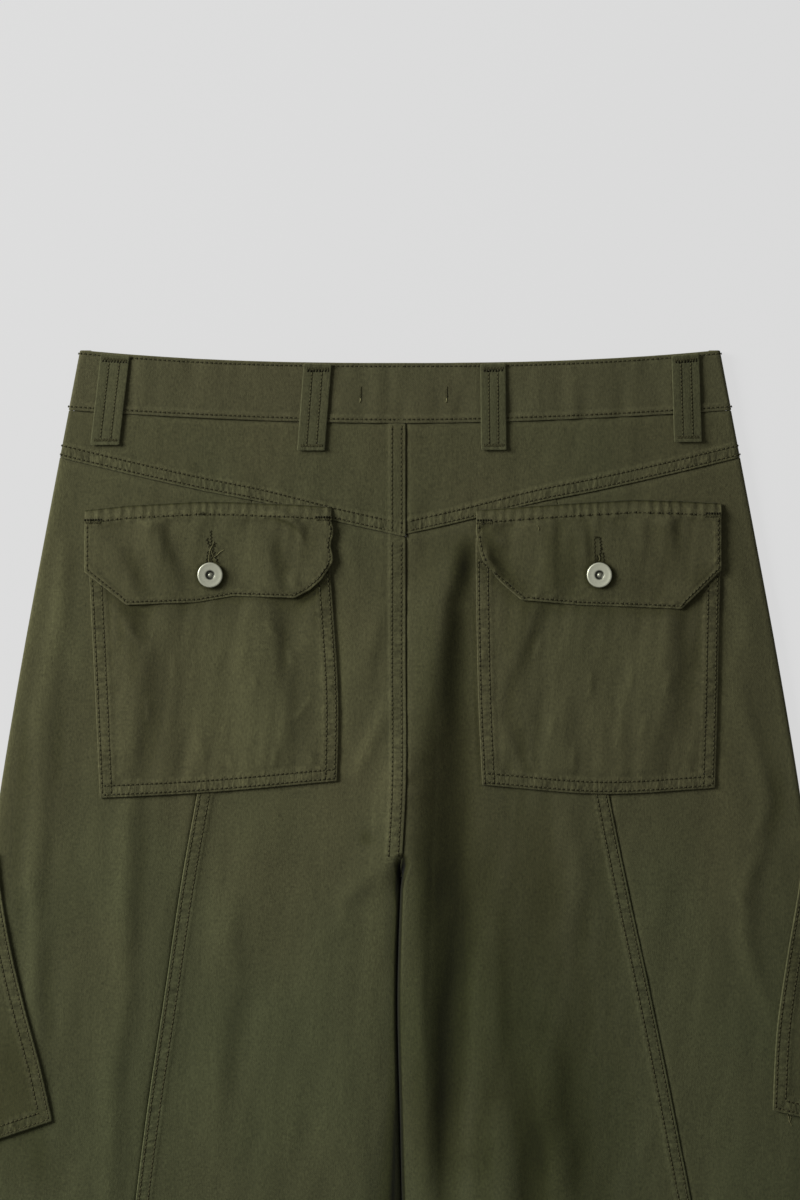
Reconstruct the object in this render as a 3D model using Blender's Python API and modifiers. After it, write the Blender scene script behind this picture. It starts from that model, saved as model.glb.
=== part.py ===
# Cargo pants laid flat with their back up: two layers of cloth folded at the outer and inner edges of the
# legs, with a waistband, a V-shaped yoke, slanted leg seams, flap pockets, cargo pockets and belt loops.
# Lengths are in metres. The waist is at +Y, the legs run towards -Y, and the front lies on the floor.
# "Depth" is the distance down from the waist's side corners. "Across" is the distance out from the middle.

import math

import bpy
import numpy as np

MM = 0.001

LENGTH = 1.040
WALL = 1.4 * MM
BAND_WALL = 1.6 * MM
FLAP_WALL = 1.8 * MM
LOOP_WALL = 2.0 * MM
UNDER_WALL = 1.6 * MM
SEAM_GAP = 0.3 * MM
STACK_GAP = 0.3 * MM

# The underside: the loops, the waist button and the cargo pockets lie on the floor. The front lies on them
# down to the knee, and below that on the floor itself.
LIFT = UNDER_WALL + STACK_GAP
LIFT_ENDS = (0.590, 0.720)

# The space between the two layers, at the folded edges and away from them, and how far it takes to open.
EDGE_SPACE = 0.9 * MM
BODY_SPACE = 2.3 * MM
LEAST_SPACE = 0.6 * MM
OUTER_FADE = 0.045
INNER_FADE = 0.014
FOLD_RADIUS = WALL + EDGE_SPACE / 2
FOLD_ARC = math.pi * FOLD_RADIUS
FOLD_STEPS = 4
LIP = 1.6 * MM
ROLL = FOLD_ARC + LIP

# Where the seat seam ends and the inner edge of each leg rolls under.
CROTCH = (0.326, 0.352)
FRONT_CROTCH = (0.300, 0.325)

# The waistband: its height at the sides, how far its top and its seam dip at the middle of the back and the
# front (with those curves' half widths and powers), and where it turns to the underside.
BAND_HEIGHT = 0.039
BAND_PROUD = 0.4 * MM
BACK_DIP = dict(depth=0.00845, half=0.208, power=2.5)
BACK_SEAM_DIP = dict(depth=0.0086, half=0.2156, power=1.8)
FRONT_DIP = dict(depth=0.022, half=0.205, power=2.2)
BAND_TURNS_UNDER = 0.218
HEM_HEIGHT = 0.026
HEM_PROUD = 0.5 * MM
HEM_EASE = 0.003
HEM_RISE = 0.013

# One row for each level of the legs: the outer fold, the middle line (the seat seam, then the middle of the
# space between the legs), half of that space, and the slanted seam of each leg.
LEVELS = [
    dict(depth=0.000, outer=0.2080, middle=0.0037, space=0.00015, slant_left=0.080, slant_right=0.085),
    dict(depth=0.040, outer=0.2156, middle=0.0037, space=0.00015, slant_left=0.086, slant_right=0.092),
    dict(depth=0.120, outer=0.2308, middle=0.0037, space=0.00015, slant_left=0.100, slant_right=0.106),
    dict(depth=0.200, outer=0.2456, middle=0.0037, space=0.00015, slant_left=0.115, slant_right=0.120),
    dict(depth=0.290, outer=0.2606, middle=0.0036, space=0.00015, slant_left=0.132, slant_right=0.136),
    dict(depth=0.340, outer=0.2679, middle=0.0009, space=0.00090, slant_left=0.141, slant_right=0.146),
    dict(depth=0.420, outer=0.2769, middle=-0.0016, space=0.00110, slant_left=0.153, slant_right=0.163),
    dict(depth=0.500, outer=0.2826, middle=0.0000, space=0.00130, slant_left=0.165, slant_right=0.179),
    dict(depth=0.600, outer=0.2850, middle=0.0020, space=0.00220, slant_left=0.177, slant_right=0.197),
    dict(depth=0.760, outer=0.2790, middle=0.0010, space=0.00600, slant_left=0.190, slant_right=0.207),
    dict(depth=0.900, outer=0.2640, middle=0.0000, space=0.00900, slant_left=0.194, slant_right=0.204),
    dict(depth=1.040, outer=0.2420, middle=0.0000, space=0.01200, slant_left=0.190, slant_right=0.194),
]

YOKE_SEAM = [
    dict(across=-0.004, depth=0.1215),
    dict(across=0.040, depth=0.1115),
    dict(across=0.092, depth=0.0985),
    dict(across=0.125, depth=0.0920),
    dict(across=0.187, depth=0.0780),
    dict(across=0.222, depth=0.0695),
]

# The largest folds, as a straight line each with the half width and the rise at its middle.
FOLDS = [
    dict(x0=0.030, depth0=0.180, x1=0.026, depth1=0.830, width=0.017, rise=-1.3 * MM),
    dict(x0=0.086, depth0=0.400, x1=0.094, depth1=0.780, width=0.016, rise=-0.9 * MM),
    dict(x0=0.226, depth0=0.310, x1=0.222, depth1=0.560, width=0.018, rise=-0.8 * MM),
    dict(x0=0.140, depth0=0.600, x1=0.105, depth1=1.020, width=0.022, rise=0.9 * MM),
    dict(x0=-0.028, depth0=0.340, x1=-0.034, depth1=0.700, width=0.016, rise=-0.9 * MM),
    dict(x0=-0.215, depth0=0.400, x1=-0.222, depth1=0.700, width=0.018, rise=-0.8 * MM),
    dict(x0=-0.095, depth0=0.330, x1=-0.085, depth1=0.860, width=0.024, rise=0.9 * MM),
    dict(x0=-0.150, depth0=0.660, x1=-0.120, depth1=1.020, width=0.020, rise=-0.8 * MM),
]

SIDES = (dict(name="left", sign=-1), dict(name="right", sign=1))

POCKET_TOP = 0.122
POCKET_SIDES = {
    "left": [
        dict(depth=0.122, inner=0.0470, outer=0.2030),
        dict(depth=0.170, inner=0.0432, outer=0.2008),
        dict(depth=0.226, inner=0.0399, outer=0.1980),
        dict(depth=0.292, inner=0.0410, outer=0.1950),
    ],
    "right": [
        dict(depth=0.122, inner=0.0491, outer=0.2088),
        dict(depth=0.170, inner=0.0496, outer=0.2078),
        dict(depth=0.226, inner=0.0508, outer=0.2066),
        dict(depth=0.292, inner=0.0538, outer=0.2046),
    ],
}
POCKET_FOOT = {
    "left": [
        dict(across=0.041, bottom=0.2802),
        dict(across=0.131, bottom=0.2880),
        dict(across=0.195, bottom=0.2912),
    ],
    "right": [
        dict(across=0.054, bottom=0.2828),
        dict(across=0.134, bottom=0.2886),
        dict(across=0.205, bottom=0.2847),
    ],
}

# The flaps' top and bottom lines, with cut lower corners, and how far below its top line a flap has risen
# over the pocket's top edge.
FLAP_LINES = {
    "left": [
        dict(across=0.0440, top=0.1020, bottom=0.1370),
        dict(across=0.0470, top=0.1018, bottom=0.1432),
        dict(across=0.0520, top=0.1014, bottom=0.1502),
        dict(across=0.0590, top=0.1009, bottom=0.1562),
        dict(across=0.0683, top=0.1003, bottom=0.1612),
        dict(across=0.1086, top=0.0987, bottom=0.1600),
        dict(across=0.1320, top=0.0985, bottom=0.1641),
        dict(across=0.1775, top=0.1010, bottom=0.1658),
        dict(across=0.2050, top=0.1040, bottom=0.1440),
    ],
    "right": [
        dict(across=0.0494, top=0.1040, bottom=0.1375),
        dict(across=0.0793, top=0.1018, bottom=0.1625),
        dict(across=0.1170, top=0.0992, bottom=0.1658),
        dict(across=0.1521, top=0.0972, bottom=0.1670),
        dict(across=0.1827, top=0.0980, bottom=0.1684),
        dict(across=0.2088, top=0.0995, bottom=0.1430),
    ],
}
FLAP_CLIMB = 0.009
FLAP_OUT = WALL + 2 * STACK_GAP + FLAP_WALL
FLAP_PLACES_PER_ROW = 3

BUTTON_STEPS = 20
BUTTON_PLACES = {"left": dict(across=0.1232, depth=0.1463), "right": dict(across=0.1294, depth=0.1463)}
BUTTON_PROFILE = [
    dict(radius=0.0, height=0.9 * MM),
    dict(radius=2.4 * MM, height=0.9 * MM),
    dict(radius=3.0 * MM, height=2.1 * MM),
    dict(radius=6.9 * MM, height=2.4 * MM),
    dict(radius=8.0 * MM, height=1.9 * MM),
    dict(radius=8.2 * MM, height=0.9 * MM),
    dict(radius=7.4 * MM, height=0.0),
    dict(radius=0.0, height=0.0),
]
WAIST_BUTTON_X = 0.016
WAIST_BUTTON_DEPTH = 0.0415
WAIST_BUTTON_HEIGHT = UNDER_WALL

CARGO_WALL = UNDER_WALL
CARGO_TOP = dict(start=0.326, slope=0.26)
CARGO_FRONT = {"left": dict(start=0.4285, slope=-0.205), "right": dict(start=0.4285, slope=-0.124)}
CARGO_FRONT_DEPTH = 0.370
CARGO_FOOT = {"left": dict(start=0.501, slope=0.34), "right": dict(start=0.494, slope=0.24)}
CARGO_BACK_EDGE = {
    "left": [
        dict(depth=0.326, across=0.2625),
        dict(depth=0.352, across=0.2595),
        dict(depth=0.390, across=0.2529),
        dict(depth=0.431, across=0.2431),
        dict(depth=0.470, across=0.2327),
        dict(depth=0.501, across=0.2259),
        dict(depth=0.600, across=0.2060),
    ],
    "right": [
        dict(depth=0.326, across=0.2625),
        dict(depth=0.354, across=0.2587),
        dict(depth=0.390, across=0.2525),
        dict(depth=0.441, across=0.2451),
        dict(depth=0.494, across=0.2421),
        dict(depth=0.600, across=0.2360),
    ],
}

# The belt loops, by the place across of their middle at the top and at the bottom; the front pair is hidden.
LOOP_TOP_INSET = 0.8 * MM
LOOP_ARCH = 0.8 * MM
BACK_LOOPS = [
    dict(name="belt_loop_back_1", x_top=-0.1850, x_bottom=-0.1918, width=0.0198, end=0.0620),
    dict(name="belt_loop_back_2", x_top=-0.0535, x_bottom=-0.0578, width=0.0190, end=0.0655),
    dict(name="belt_loop_back_3", x_top=0.0605, x_bottom=0.0610, width=0.0175, end=0.0652),
    dict(name="belt_loop_back_4", x_top=0.1855, x_bottom=0.1872, width=0.0190, end=0.0600),
]
FRONT_LOOPS = [
    dict(name="belt_loop_front_left", x_top=-0.1120, x_bottom=-0.1150, width=0.0190, end=0.0700),
    dict(name="belt_loop_front_right", x_top=0.1120, x_bottom=0.1150, width=0.0190, end=0.0700),
]

CLOTH_ROUGHNESS = 0.85
METAL_ROUGHNESS = 0.3
COLORS = {
    "band": (0.066, 0.064, 0.034),
    "twill": (0.058, 0.057, 0.030),
    "pocket": (0.062, 0.061, 0.031),
    "loop": (0.054, 0.053, 0.028),
    "metal": (0.620, 0.600, 0.560),
}

LEG_DEPTHS = [0.121, 0.160, 0.200, 0.240, 0.275, 0.305, 0.326, 0.337, 0.352, 0.375, 0.410, 0.450, 0.490,
              0.530, 0.575, 0.620, 0.665, 0.710, 0.760, 0.815, 0.870, 0.925, 0.975, 1.012, 1.016, 1.040]
FRONT_TOP_DEPTHS = [0.05, 0.085]
SIDE_PLACES = [0.0, 0.22, 0.44, 0.62, 0.76, 0.89, 1.0]
FLAP_SHARES = [0.0, 0.16, 0.3, 0.5, 0.7, 0.86, 1.0]

# The grids' steps: down each piece, across its upper side, and across its underside.
BAND_STEPS = dict(down=3, back=16, front=12)
YOKE_STEPS = dict(down=4, across=14)
CENTER_ACROSS = 9
FRONT_ACROSS = 7
POCKET_STEPS = dict(down=8, across=9)
CARGO_STEPS = dict(down=9, back=4, front=5)
LOOP_DOWN = 8
FRONT_LOOP_DOWN = 4

# The spread of a grid between curved lines is worked out in rounds, from a first guess at this depth.
SPREAD_ROUNDS = 12
FIRST_DEPTH = 0.1
FOLD_FADE = 0.3
SHARP_ANGLE = math.radians(40)


def smooth_step(value, ends):
    # Runs from 0 to 1 between the two ends, level at both.
    t = np.clip((value - ends[0]) / (ends[1] - ends[0]), 0.0, 1.0)
    return t * t * (3.0 - 2.0 * t)


def smooth_line(rows, along, column):
    # A line through a table's rows: cubic pieces, with slopes from the neighbouring rows.
    places = np.array([row[along] for row in rows])
    values = np.array([row[column] for row in rows])
    slopes = np.gradient(values, places)

    def read(at):
        at = np.clip(at, places[0], places[-1])
        i = np.clip(np.searchsorted(places, at) - 1, 0, len(places) - 2)
        step = places[i + 1] - places[i]
        t = (at - places[i]) / step
        start = (2 * t ** 3 - 3 * t ** 2 + 1) * values[i] + (t ** 3 - 2 * t ** 2 + t) * step * slopes[i]
        end = (3 * t ** 2 - 2 * t ** 3) * values[i + 1] + (t ** 3 - t ** 2) * step * slopes[i + 1]
        return start + end

    return read


def straight_line(rows, along, column):
    # A line through a table's rows, straight from row to row.
    places = [row[along] for row in rows]
    values = [row[column] for row in rows]
    return lambda at: np.interp(at, places, values)


OUTER = smooth_line(LEVELS, "depth", "outer")
MIDDLE = smooth_line(LEVELS, "depth", "middle")
SPACE = smooth_line(LEVELS, "depth", "space")
YOKE_DEPTH = smooth_line(YOKE_SEAM, "across", "depth")


def hem_depth(across):
    # The hems lie square to the legs, so they end a little higher at the outer fold.
    return LENGTH - HEM_RISE * np.maximum(across - SPACE(LENGTH), 0.0) / OUTER(LENGTH)


def lift(depth):
    return LIFT * (1.0 - smooth_step(depth, LIFT_ENDS))


def inner_edge(sign, depth):
    # The seat seam, then the inner edge of a leg, across on that side.
    return sign * MIDDLE(depth) + np.maximum(SPACE(depth), SEAM_GAP / 2)


def fold_start(depth):
    # Where the upper layer begins to roll over at the outer edge.
    return OUTER(depth) - FOLD_RADIUS


def under_edge(depth):
    # The same place on the underside, as a distance over the surface from the middle.
    return fold_start(depth) + FOLD_ARC


def under_lip(depth):
    # Where the upper layer's narrow lip on the underside ends.
    return under_edge(depth) + LIP


def roll_start(sign, depth):
    # Where the upper layer begins to roll under at the inner edge, once the seat seam has ended.
    rolled = smooth_step(depth, CROTCH)
    return inner_edge(sign, depth) + (1.0 - rolled) * ROLL + rolled * FOLD_RADIUS


def folds_rise(x, depth):
    # The sum of the folds: each falls off as a bell across its line and fades towards its ends.
    total = np.zeros(np.broadcast(x, depth).shape)
    for fold in FOLDS:
        run_x = fold["x1"] - fold["x0"]
        run_depth = fold["depth1"] - fold["depth0"]
        along = (x - fold["x0"]) * run_x + (depth - fold["depth0"]) * run_depth
        share = np.clip(along / (run_x ** 2 + run_depth ** 2), 0.0, 1.0)
        aside = np.hypot(x - fold["x0"] - share * run_x, depth - fold["depth0"] - share * run_depth)
        fade = smooth_step(share, (0.0, FOLD_FADE)) * smooth_step(1.0 - share, (0.0, FOLD_FADE))
        total = total + fold["rise"] * fade * np.exp(-((aside / fold["width"]) ** 2))
    return total


def top_height(sign, across, depth):
    # The upper layer's outer face: two walls and the space between them, which closes at the folded edges.
    outer_share = smooth_step(fold_start(depth) - across, (0.0, OUTER_FADE))
    inner_share = smooth_step(across - inner_edge(sign, depth) - FOLD_RADIUS, (0.0, INNER_FADE))
    inner_share = 1.0 - smooth_step(depth, CROTCH) * (1.0 - inner_share)
    body = np.maximum(BODY_SPACE + folds_rise(sign * across, depth), LEAST_SPACE)
    space = EDGE_SPACE + (body - EDGE_SPACE) * outer_share * inner_share
    hem = HEM_PROUD * smooth_step(hem_depth(across) - depth, (HEM_HEIGHT + HEM_EASE, HEM_HEIGHT))
    return lift(depth) + 2 * WALL + space + hem * outer_share * inner_share


def skin(sign, around, depth, out=0.0):
    # A point of the garment's outer face, moved out by a distance. "Around" runs over the surface from the
    # middle of the back to the outer fold, round it, and back along the underside.
    around, depth = np.broadcast_arrays(around, depth)
    turn = (around - fold_start(depth)) / FOLD_RADIUS
    half_turn = np.clip(turn, 0.0, math.pi)
    across = np.minimum(around, fold_start(depth)) + (FOLD_RADIUS + out) * np.sin(half_turn)
    across = across - np.maximum(around - under_edge(depth), 0.0)
    flat_top = top_height(sign, np.minimum(around, fold_start(depth)), depth) + out
    rolled_down = lift(depth) + FOLD_RADIUS + (FOLD_RADIUS + out) * np.cos(half_turn)
    height = np.where(turn > 0.0, rolled_down, flat_top)

    rolled = smooth_step(depth, CROTCH)
    beyond = np.clip(roll_start(sign, depth) - around, 0.0, ROLL)
    roll = np.minimum(beyond, FOLD_ARC) / FOLD_RADIUS
    flat_across = inner_edge(sign, depth) + ROLL - beyond
    rolled_across = inner_edge(sign, depth) + FOLD_RADIUS - (FOLD_RADIUS + out) * np.sin(roll)
    rolled_across = rolled_across + np.maximum(beyond - FOLD_ARC, 0.0)
    flat_height = top_height(sign, flat_across, depth) + out
    rolled_height = lift(depth) + FOLD_RADIUS + (FOLD_RADIUS + out) * np.cos(roll)
    inner = (beyond > 0.0) & (rolled > 0.0)
    across = np.where(inner, flat_across + rolled * (rolled_across - flat_across), across)
    height = np.where(inner, flat_height + rolled * (rolled_height - flat_height), height)
    return np.stack([sign * across, LENGTH / 2 - depth, height], axis=-1)


def spread(down, places, stops, upper, lower):
    # Lays a grid of points between lines. A whole number in places stands on a stop, a line that depends on
    # the depth; upper and lower depend on the distance around. Both are met in a few rounds.
    share, place = np.meshgrid(np.array(down), np.array(places), indexing="ij")
    first = np.clip(place.astype(int), 0, len(stops) - 2)
    depth = np.full(share.shape, upper(stops[0](FIRST_DEPTH)))
    for _ in range(SPREAD_ROUNDS):
        lines = np.stack([np.broadcast_to(stop(depth), depth.shape) for stop in stops])
        before = np.take_along_axis(lines, first[None], axis=0)[0]
        after = np.take_along_axis(lines, first[None] + 1, axis=0)[0]
        around = before + (place - first) * (after - before)
        depth = upper(around) + share * (lower(around) - upper(around))
    return around, depth


def make_material(name, color, roughness, metallic=0.0):
    material = bpy.data.materials.new(name)
    material.use_nodes = True
    shader = material.node_tree.nodes["Principled BSDF"]
    shader.inputs["Base Color"].default_value = (*color, 1.0)
    shader.inputs["Roughness"].default_value = roughness
    shader.inputs["Metallic"].default_value = metallic
    return material


def add_object(name, mesh, material, collection):
    mesh.materials.append(material)
    mesh.shade_smooth()
    mesh.set_sharp_from_angle(angle=SHARP_ANGLE)
    piece = bpy.data.objects.new(name, mesh)
    collection.objects.link(piece)
    return piece


def add_sheet(name, points, wall, sign, color, collection):
    # A grid of points on a piece's outer face becomes cloth, with its wall inside.
    rows, columns = points.shape[:2]
    index = np.arange(rows * columns).reshape(rows, columns)
    corners = np.stack([index[:-1, :-1], index[1:, :-1], index[1:, 1:], index[:-1, 1:]], axis=-1)
    corners = corners.reshape(-1, 4)
    if sign < 0:
        corners = corners[:, ::-1]
    mesh = bpy.data.meshes.new(name)
    mesh.from_pydata(points.reshape(-1, 3).tolist(), [], corners.tolist())
    piece = add_object(name, mesh, make_material(name, COLORS[color], CLOTH_ROUGHNESS), collection)
    thickness = piece.modifiers.new("Wall", "SOLIDIFY")
    thickness.thickness = wall
    thickness.offset = -1.0
    return piece


def add_disc(name, profile, place, face_down, color, collection):
    # A turned piece: its profile runs from the middle of its face, over the rim, to the middle of its back.
    mesh = bpy.data.meshes.new(name)
    points = [(row["radius"], 0.0, row["height"]) for row in profile]
    mesh.from_pydata(points, [(i, i + 1) for i in range(len(points) - 1)], [])
    piece = add_object(name, mesh, make_material(name, COLORS[color], METAL_ROUGHNESS, 1.0), collection)
    turning = piece.modifiers.new("Turning", "SCREW")
    turning.steps = BUTTON_STEPS
    turning.render_steps = BUTTON_STEPS
    turning.use_merge_vertices = True
    turning.merge_threshold = 0.01 * MM
    piece.location = place
    piece.rotation_euler = (math.pi if face_down else 0.0, 0.0, 0.0)
    return piece


def even(count):
    return np.linspace(0.0, 1.0, count + 1)


def fold_places(stop):
    # The places of the columns that turn round a fold, from one stop to the next.
    return [stop + k / FOLD_STEPS for k in range(1, FOLD_STEPS + 1)]


def dip_at(dip, across):
    # Deepest at the middle, and nothing at the curve's half width.
    return dip["depth"] * (1.0 - np.clip(across / dip["half"], 0.0, 1.0) ** dip["power"])


def back_waist(around):
    return dip_at(BACK_DIP, around)


def back_band_seam(around):
    return BAND_HEIGHT + dip_at(BACK_SEAM_DIP, around)


def front_across(around, depth):
    # The distance from the middle of the front, for a place on the underside.
    return fold_start(depth) - (around - under_edge(depth))


def front_waist(across):
    return dip_at(FRONT_DIP, across)


def front_band_seam(across):
    return BAND_HEIGHT + front_waist(across)


def band_half(sign):
    # Half of the waistband, from the middle of the back round to the middle of the front.
    def lower(around):
        behind = back_band_seam(around) - SEAM_GAP / 2
        before = front_band_seam(front_across(around, BAND_HEIGHT)) - SEAM_GAP / 2
        return np.where(around > BAND_TURNS_UNDER, before, behind)

    def upper(around):
        return np.where(around > BAND_TURNS_UNDER, front_waist(front_across(around, 0.0)), back_waist(around))

    stops = [lambda d: 0.0 * d, fold_start, under_edge, lambda d: under_edge(d) + fold_start(d) - SEAM_GAP]
    places = list(even(BAND_STEPS["back"])) + fold_places(1) + list(2.0 + even(BAND_STEPS["front"])[1:])
    around, depth = spread(even(BAND_STEPS["down"]), places, stops, upper, lower)
    proud = BAND_PROUD * (1.0 - np.clip((around - fold_start(depth)) / FOLD_ARC, 0.0, 1.0))
    return skin(sign, around, depth, proud)


def add_waistband(collection):
    left = band_half(-1)
    right = band_half(1)
    points = np.concatenate([left[:, :0:-1], right], axis=1)
    return add_sheet("waistband", points, BAND_WALL, 1, "band", collection)


def add_yoke(side, collection):
    sign = side["sign"]
    stops = [lambda d: inner_edge(sign, d), fold_start, under_edge, under_lip]
    places = list(even(YOKE_STEPS["across"])) + fold_places(1) + [3.0]

    def upper(around):
        return back_band_seam(around) + SEAM_GAP / 2

    def lower(around):
        return YOKE_DEPTH(around) - SEAM_GAP / 2

    around, depth = spread(even(YOKE_STEPS["down"]), places, stops, upper, lower)
    points = skin(sign, around, depth)
    return add_sheet("yoke_" + side["name"], points, WALL, sign, "twill", collection)


def leg_shares():
    first = LEG_DEPTHS[0]
    return [(depth - first) / (LENGTH - first) for depth in LEG_DEPTHS]


def below_yoke(around):
    return YOKE_DEPTH(around) + SEAM_GAP / 2


def hem_line(around):
    # The hem, for a place on either face.
    behind = np.minimum(around, fold_start(LENGTH))
    before = np.maximum(around - under_edge(LENGTH), 0.0)
    return hem_depth(behind - before)


def add_back_center(side, collection):
    sign = side["sign"]
    slant = smooth_line(LEVELS, "depth", "slant_" + side["name"])
    stops = [
        lambda d: roll_start(sign, d) - ROLL,
        lambda d: roll_start(sign, d) - FOLD_ARC,
        lambda d: roll_start(sign, d),
        lambda d: slant(d) - SEAM_GAP / 2,
    ]
    places = [0.0, 1.0] + fold_places(1) + list(2.0 + even(CENTER_ACROSS)[1:])
    around, depth = spread(leg_shares(), places, stops, below_yoke, hem_line)
    points = skin(sign, around, depth)
    return add_sheet("back_center_" + side["name"], points, WALL, sign, "twill", collection)


def add_back_side(side, collection):
    sign = side["sign"]
    slant = smooth_line(LEVELS, "depth", "slant_" + side["name"])
    stops = [lambda d: slant(d) + SEAM_GAP / 2, fold_start, under_edge, under_lip]
    places = SIDE_PLACES + fold_places(1) + [3.0]
    around, depth = spread(leg_shares(), places, stops, below_yoke, hem_line)
    points = skin(sign, around, depth)
    return add_sheet("back_side_" + side["name"], points, WALL, sign, "twill", collection)


def add_front(side, collection):
    sign = side["sign"]

    def inner_line(depth):
        rolled = smooth_step(depth, FRONT_CROTCH)
        inner = inner_edge(sign, depth) + FOLD_RADIUS + LIP + SEAM_GAP
        across = (1.0 - rolled) * SEAM_GAP / 2 + rolled * inner
        return under_edge(depth) + fold_start(depth) - across

    def upper(around):
        return front_band_seam(front_across(around, BAND_HEIGHT)) + SEAM_GAP / 2

    first = FRONT_TOP_DEPTHS[0]
    shares = [(depth - first) / (LENGTH - first) for depth in FRONT_TOP_DEPTHS + LEG_DEPTHS]
    stops = [lambda d: under_lip(d) + SEAM_GAP, inner_line]
    around, depth = spread(shares, even(FRONT_ACROSS), stops, upper, hem_line)
    points = skin(sign, around, depth)
    return add_sheet("front_" + side["name"], points, WALL, sign, "twill", collection)


def add_back_pocket(side, collection):
    name = side["name"]
    inner = smooth_line(POCKET_SIDES[name], "depth", "inner")
    outer = smooth_line(POCKET_SIDES[name], "depth", "outer")
    foot = smooth_line(POCKET_FOOT[name], "across", "bottom")
    steps = POCKET_STEPS
    around, depth = spread(even(steps["down"]), even(steps["across"]), [inner, outer],
                           lambda a: POCKET_TOP + 0.0 * a, foot)
    points = skin(side["sign"], around, depth, STACK_GAP + WALL)
    return add_sheet("back_pocket_" + name, points, WALL, side["sign"], "pocket", collection)


def flap_out(name, around, depth):
    # A flap leaves the panel at its top line and climbs over the pocket's top edge.
    top = straight_line(FLAP_LINES[name], "across", "top")
    climb = smooth_step(depth - top(around), (0.0, FLAP_CLIMB))
    return STACK_GAP + FLAP_WALL + climb * (FLAP_OUT - STACK_GAP - FLAP_WALL)


def add_back_flap(side, collection):
    name = side["name"]
    rows = FLAP_LINES[name]
    parts = FLAP_PLACES_PER_ROW
    places = np.arange((len(rows) - 1) * parts + 1) / parts
    stops = [lambda d, row=row: row["across"] + 0.0 * d for row in rows]
    top = straight_line(rows, "across", "top")
    bottom = straight_line(rows, "across", "bottom")
    around, depth = spread(FLAP_SHARES, places, stops, top, bottom)
    points = skin(side["sign"], around, depth, flap_out(name, around, depth))
    return add_sheet("back_flap_" + name, points, FLAP_WALL, side["sign"], "pocket", collection)


def add_flap_button(side, collection):
    name = side["name"]
    place = BUTTON_PLACES[name]
    seat = skin(side["sign"], place["across"], place["depth"], FLAP_OUT + 1.3 * STACK_GAP)
    return add_disc("back_button_" + name, BUTTON_PROFILE, tuple(seat), False, "metal", collection)


def add_waist_button(collection):
    # The waist button lies under the front of the band, its face on the floor.
    scale = WAIST_BUTTON_HEIGHT / BUTTON_PROFILE[3]["height"]
    profile = [dict(radius=row["radius"], height=row["height"] * scale) for row in BUTTON_PROFILE]
    place = (WAIST_BUTTON_X, LENGTH / 2 - WAIST_BUTTON_DEPTH, WAIST_BUTTON_HEIGHT)
    return add_disc("waist_button", profile, place, True, "metal", collection)


def add_cargo_pocket(side, collection):
    name = side["name"]
    back = smooth_line(CARGO_BACK_EDGE[name], "depth", "across")
    foot = CARGO_FOOT[name]
    front = CARGO_FRONT[name]

    def front_line(depth):
        return front["start"] + front["slope"] * (depth - CARGO_FRONT_DEPTH)

    def upper(around):
        return CARGO_TOP["start"] + CARGO_TOP["slope"] * np.maximum(around - back(CARGO_TOP["start"]), 0.0)

    def lower(around):
        return foot["start"] + foot["slope"] * np.maximum(around - back(foot["start"]), 0.0)

    stops = [back, fold_start, under_edge, front_line]
    places = list(even(CARGO_STEPS["back"])) + fold_places(1) + list(2.0 + even(CARGO_STEPS["front"])[1:])
    around, depth = spread(even(CARGO_STEPS["down"]), places, stops, upper, lower)
    points = skin(side["sign"], around, depth, STACK_GAP + CARGO_WALL)
    return add_sheet("cargo_pocket_" + name, points, CARGO_WALL, side["sign"], "pocket", collection)


def add_back_loop(loop, collection):
    # A loop lies on the band, stands off it a little at mid length, and ends on the yoke.
    sign = 1 if loop["x_top"] > 0 else -1
    share, place = np.meshgrid(even(LOOP_DOWN), [-0.5, 0.0, 0.5], indexing="ij")
    x = loop["x_top"] + share * (loop["x_bottom"] - loop["x_top"]) + place * loop["width"] * sign
    across = x * sign
    start = back_waist(across) + LOOP_TOP_INSET
    depth = start + share * (loop["end"] - start)
    arch = LOOP_ARCH * np.sin(math.pi * share)
    points = skin(sign, across, depth, BAND_PROUD + STACK_GAP + LOOP_WALL + arch)
    return add_sheet(loop["name"], points, LOOP_WALL, sign, "loop", collection)


def add_front_loop(loop, collection):
    sign = 1 if loop["x_top"] > 0 else -1
    share, place = np.meshgrid(even(FRONT_LOOP_DOWN), [0.5, -0.5], indexing="ij")
    x = loop["x_top"] + share * (loop["x_bottom"] - loop["x_top"]) + place * loop["width"] * sign
    start = front_waist(x * sign) + LOOP_TOP_INSET
    depth = start + share * (loop["end"] - start)
    points = np.stack([x, LENGTH / 2 - depth, np.zeros(x.shape)], axis=-1)
    return add_sheet(loop["name"], points, UNDER_WALL, sign, "loop", collection)


def main():
    for item in list(bpy.data.objects):
        bpy.data.objects.remove(item)
    collection = bpy.data.collections.new("cargo_pants")
    bpy.context.scene.collection.children.link(collection)

    add_waistband(collection)
    for side in SIDES:
        add_yoke(side, collection)
        add_back_center(side, collection)
        add_back_side(side, collection)
        add_front(side, collection)
        add_back_pocket(side, collection)
        add_back_flap(side, collection)
        add_flap_button(side, collection)
        add_cargo_pocket(side, collection)
    for loop in BACK_LOOPS:
        add_back_loop(loop, collection)
    for loop in FRONT_LOOPS:
        add_front_loop(loop, collection)
    add_waist_button(collection)


main()
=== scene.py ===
import math

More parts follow.
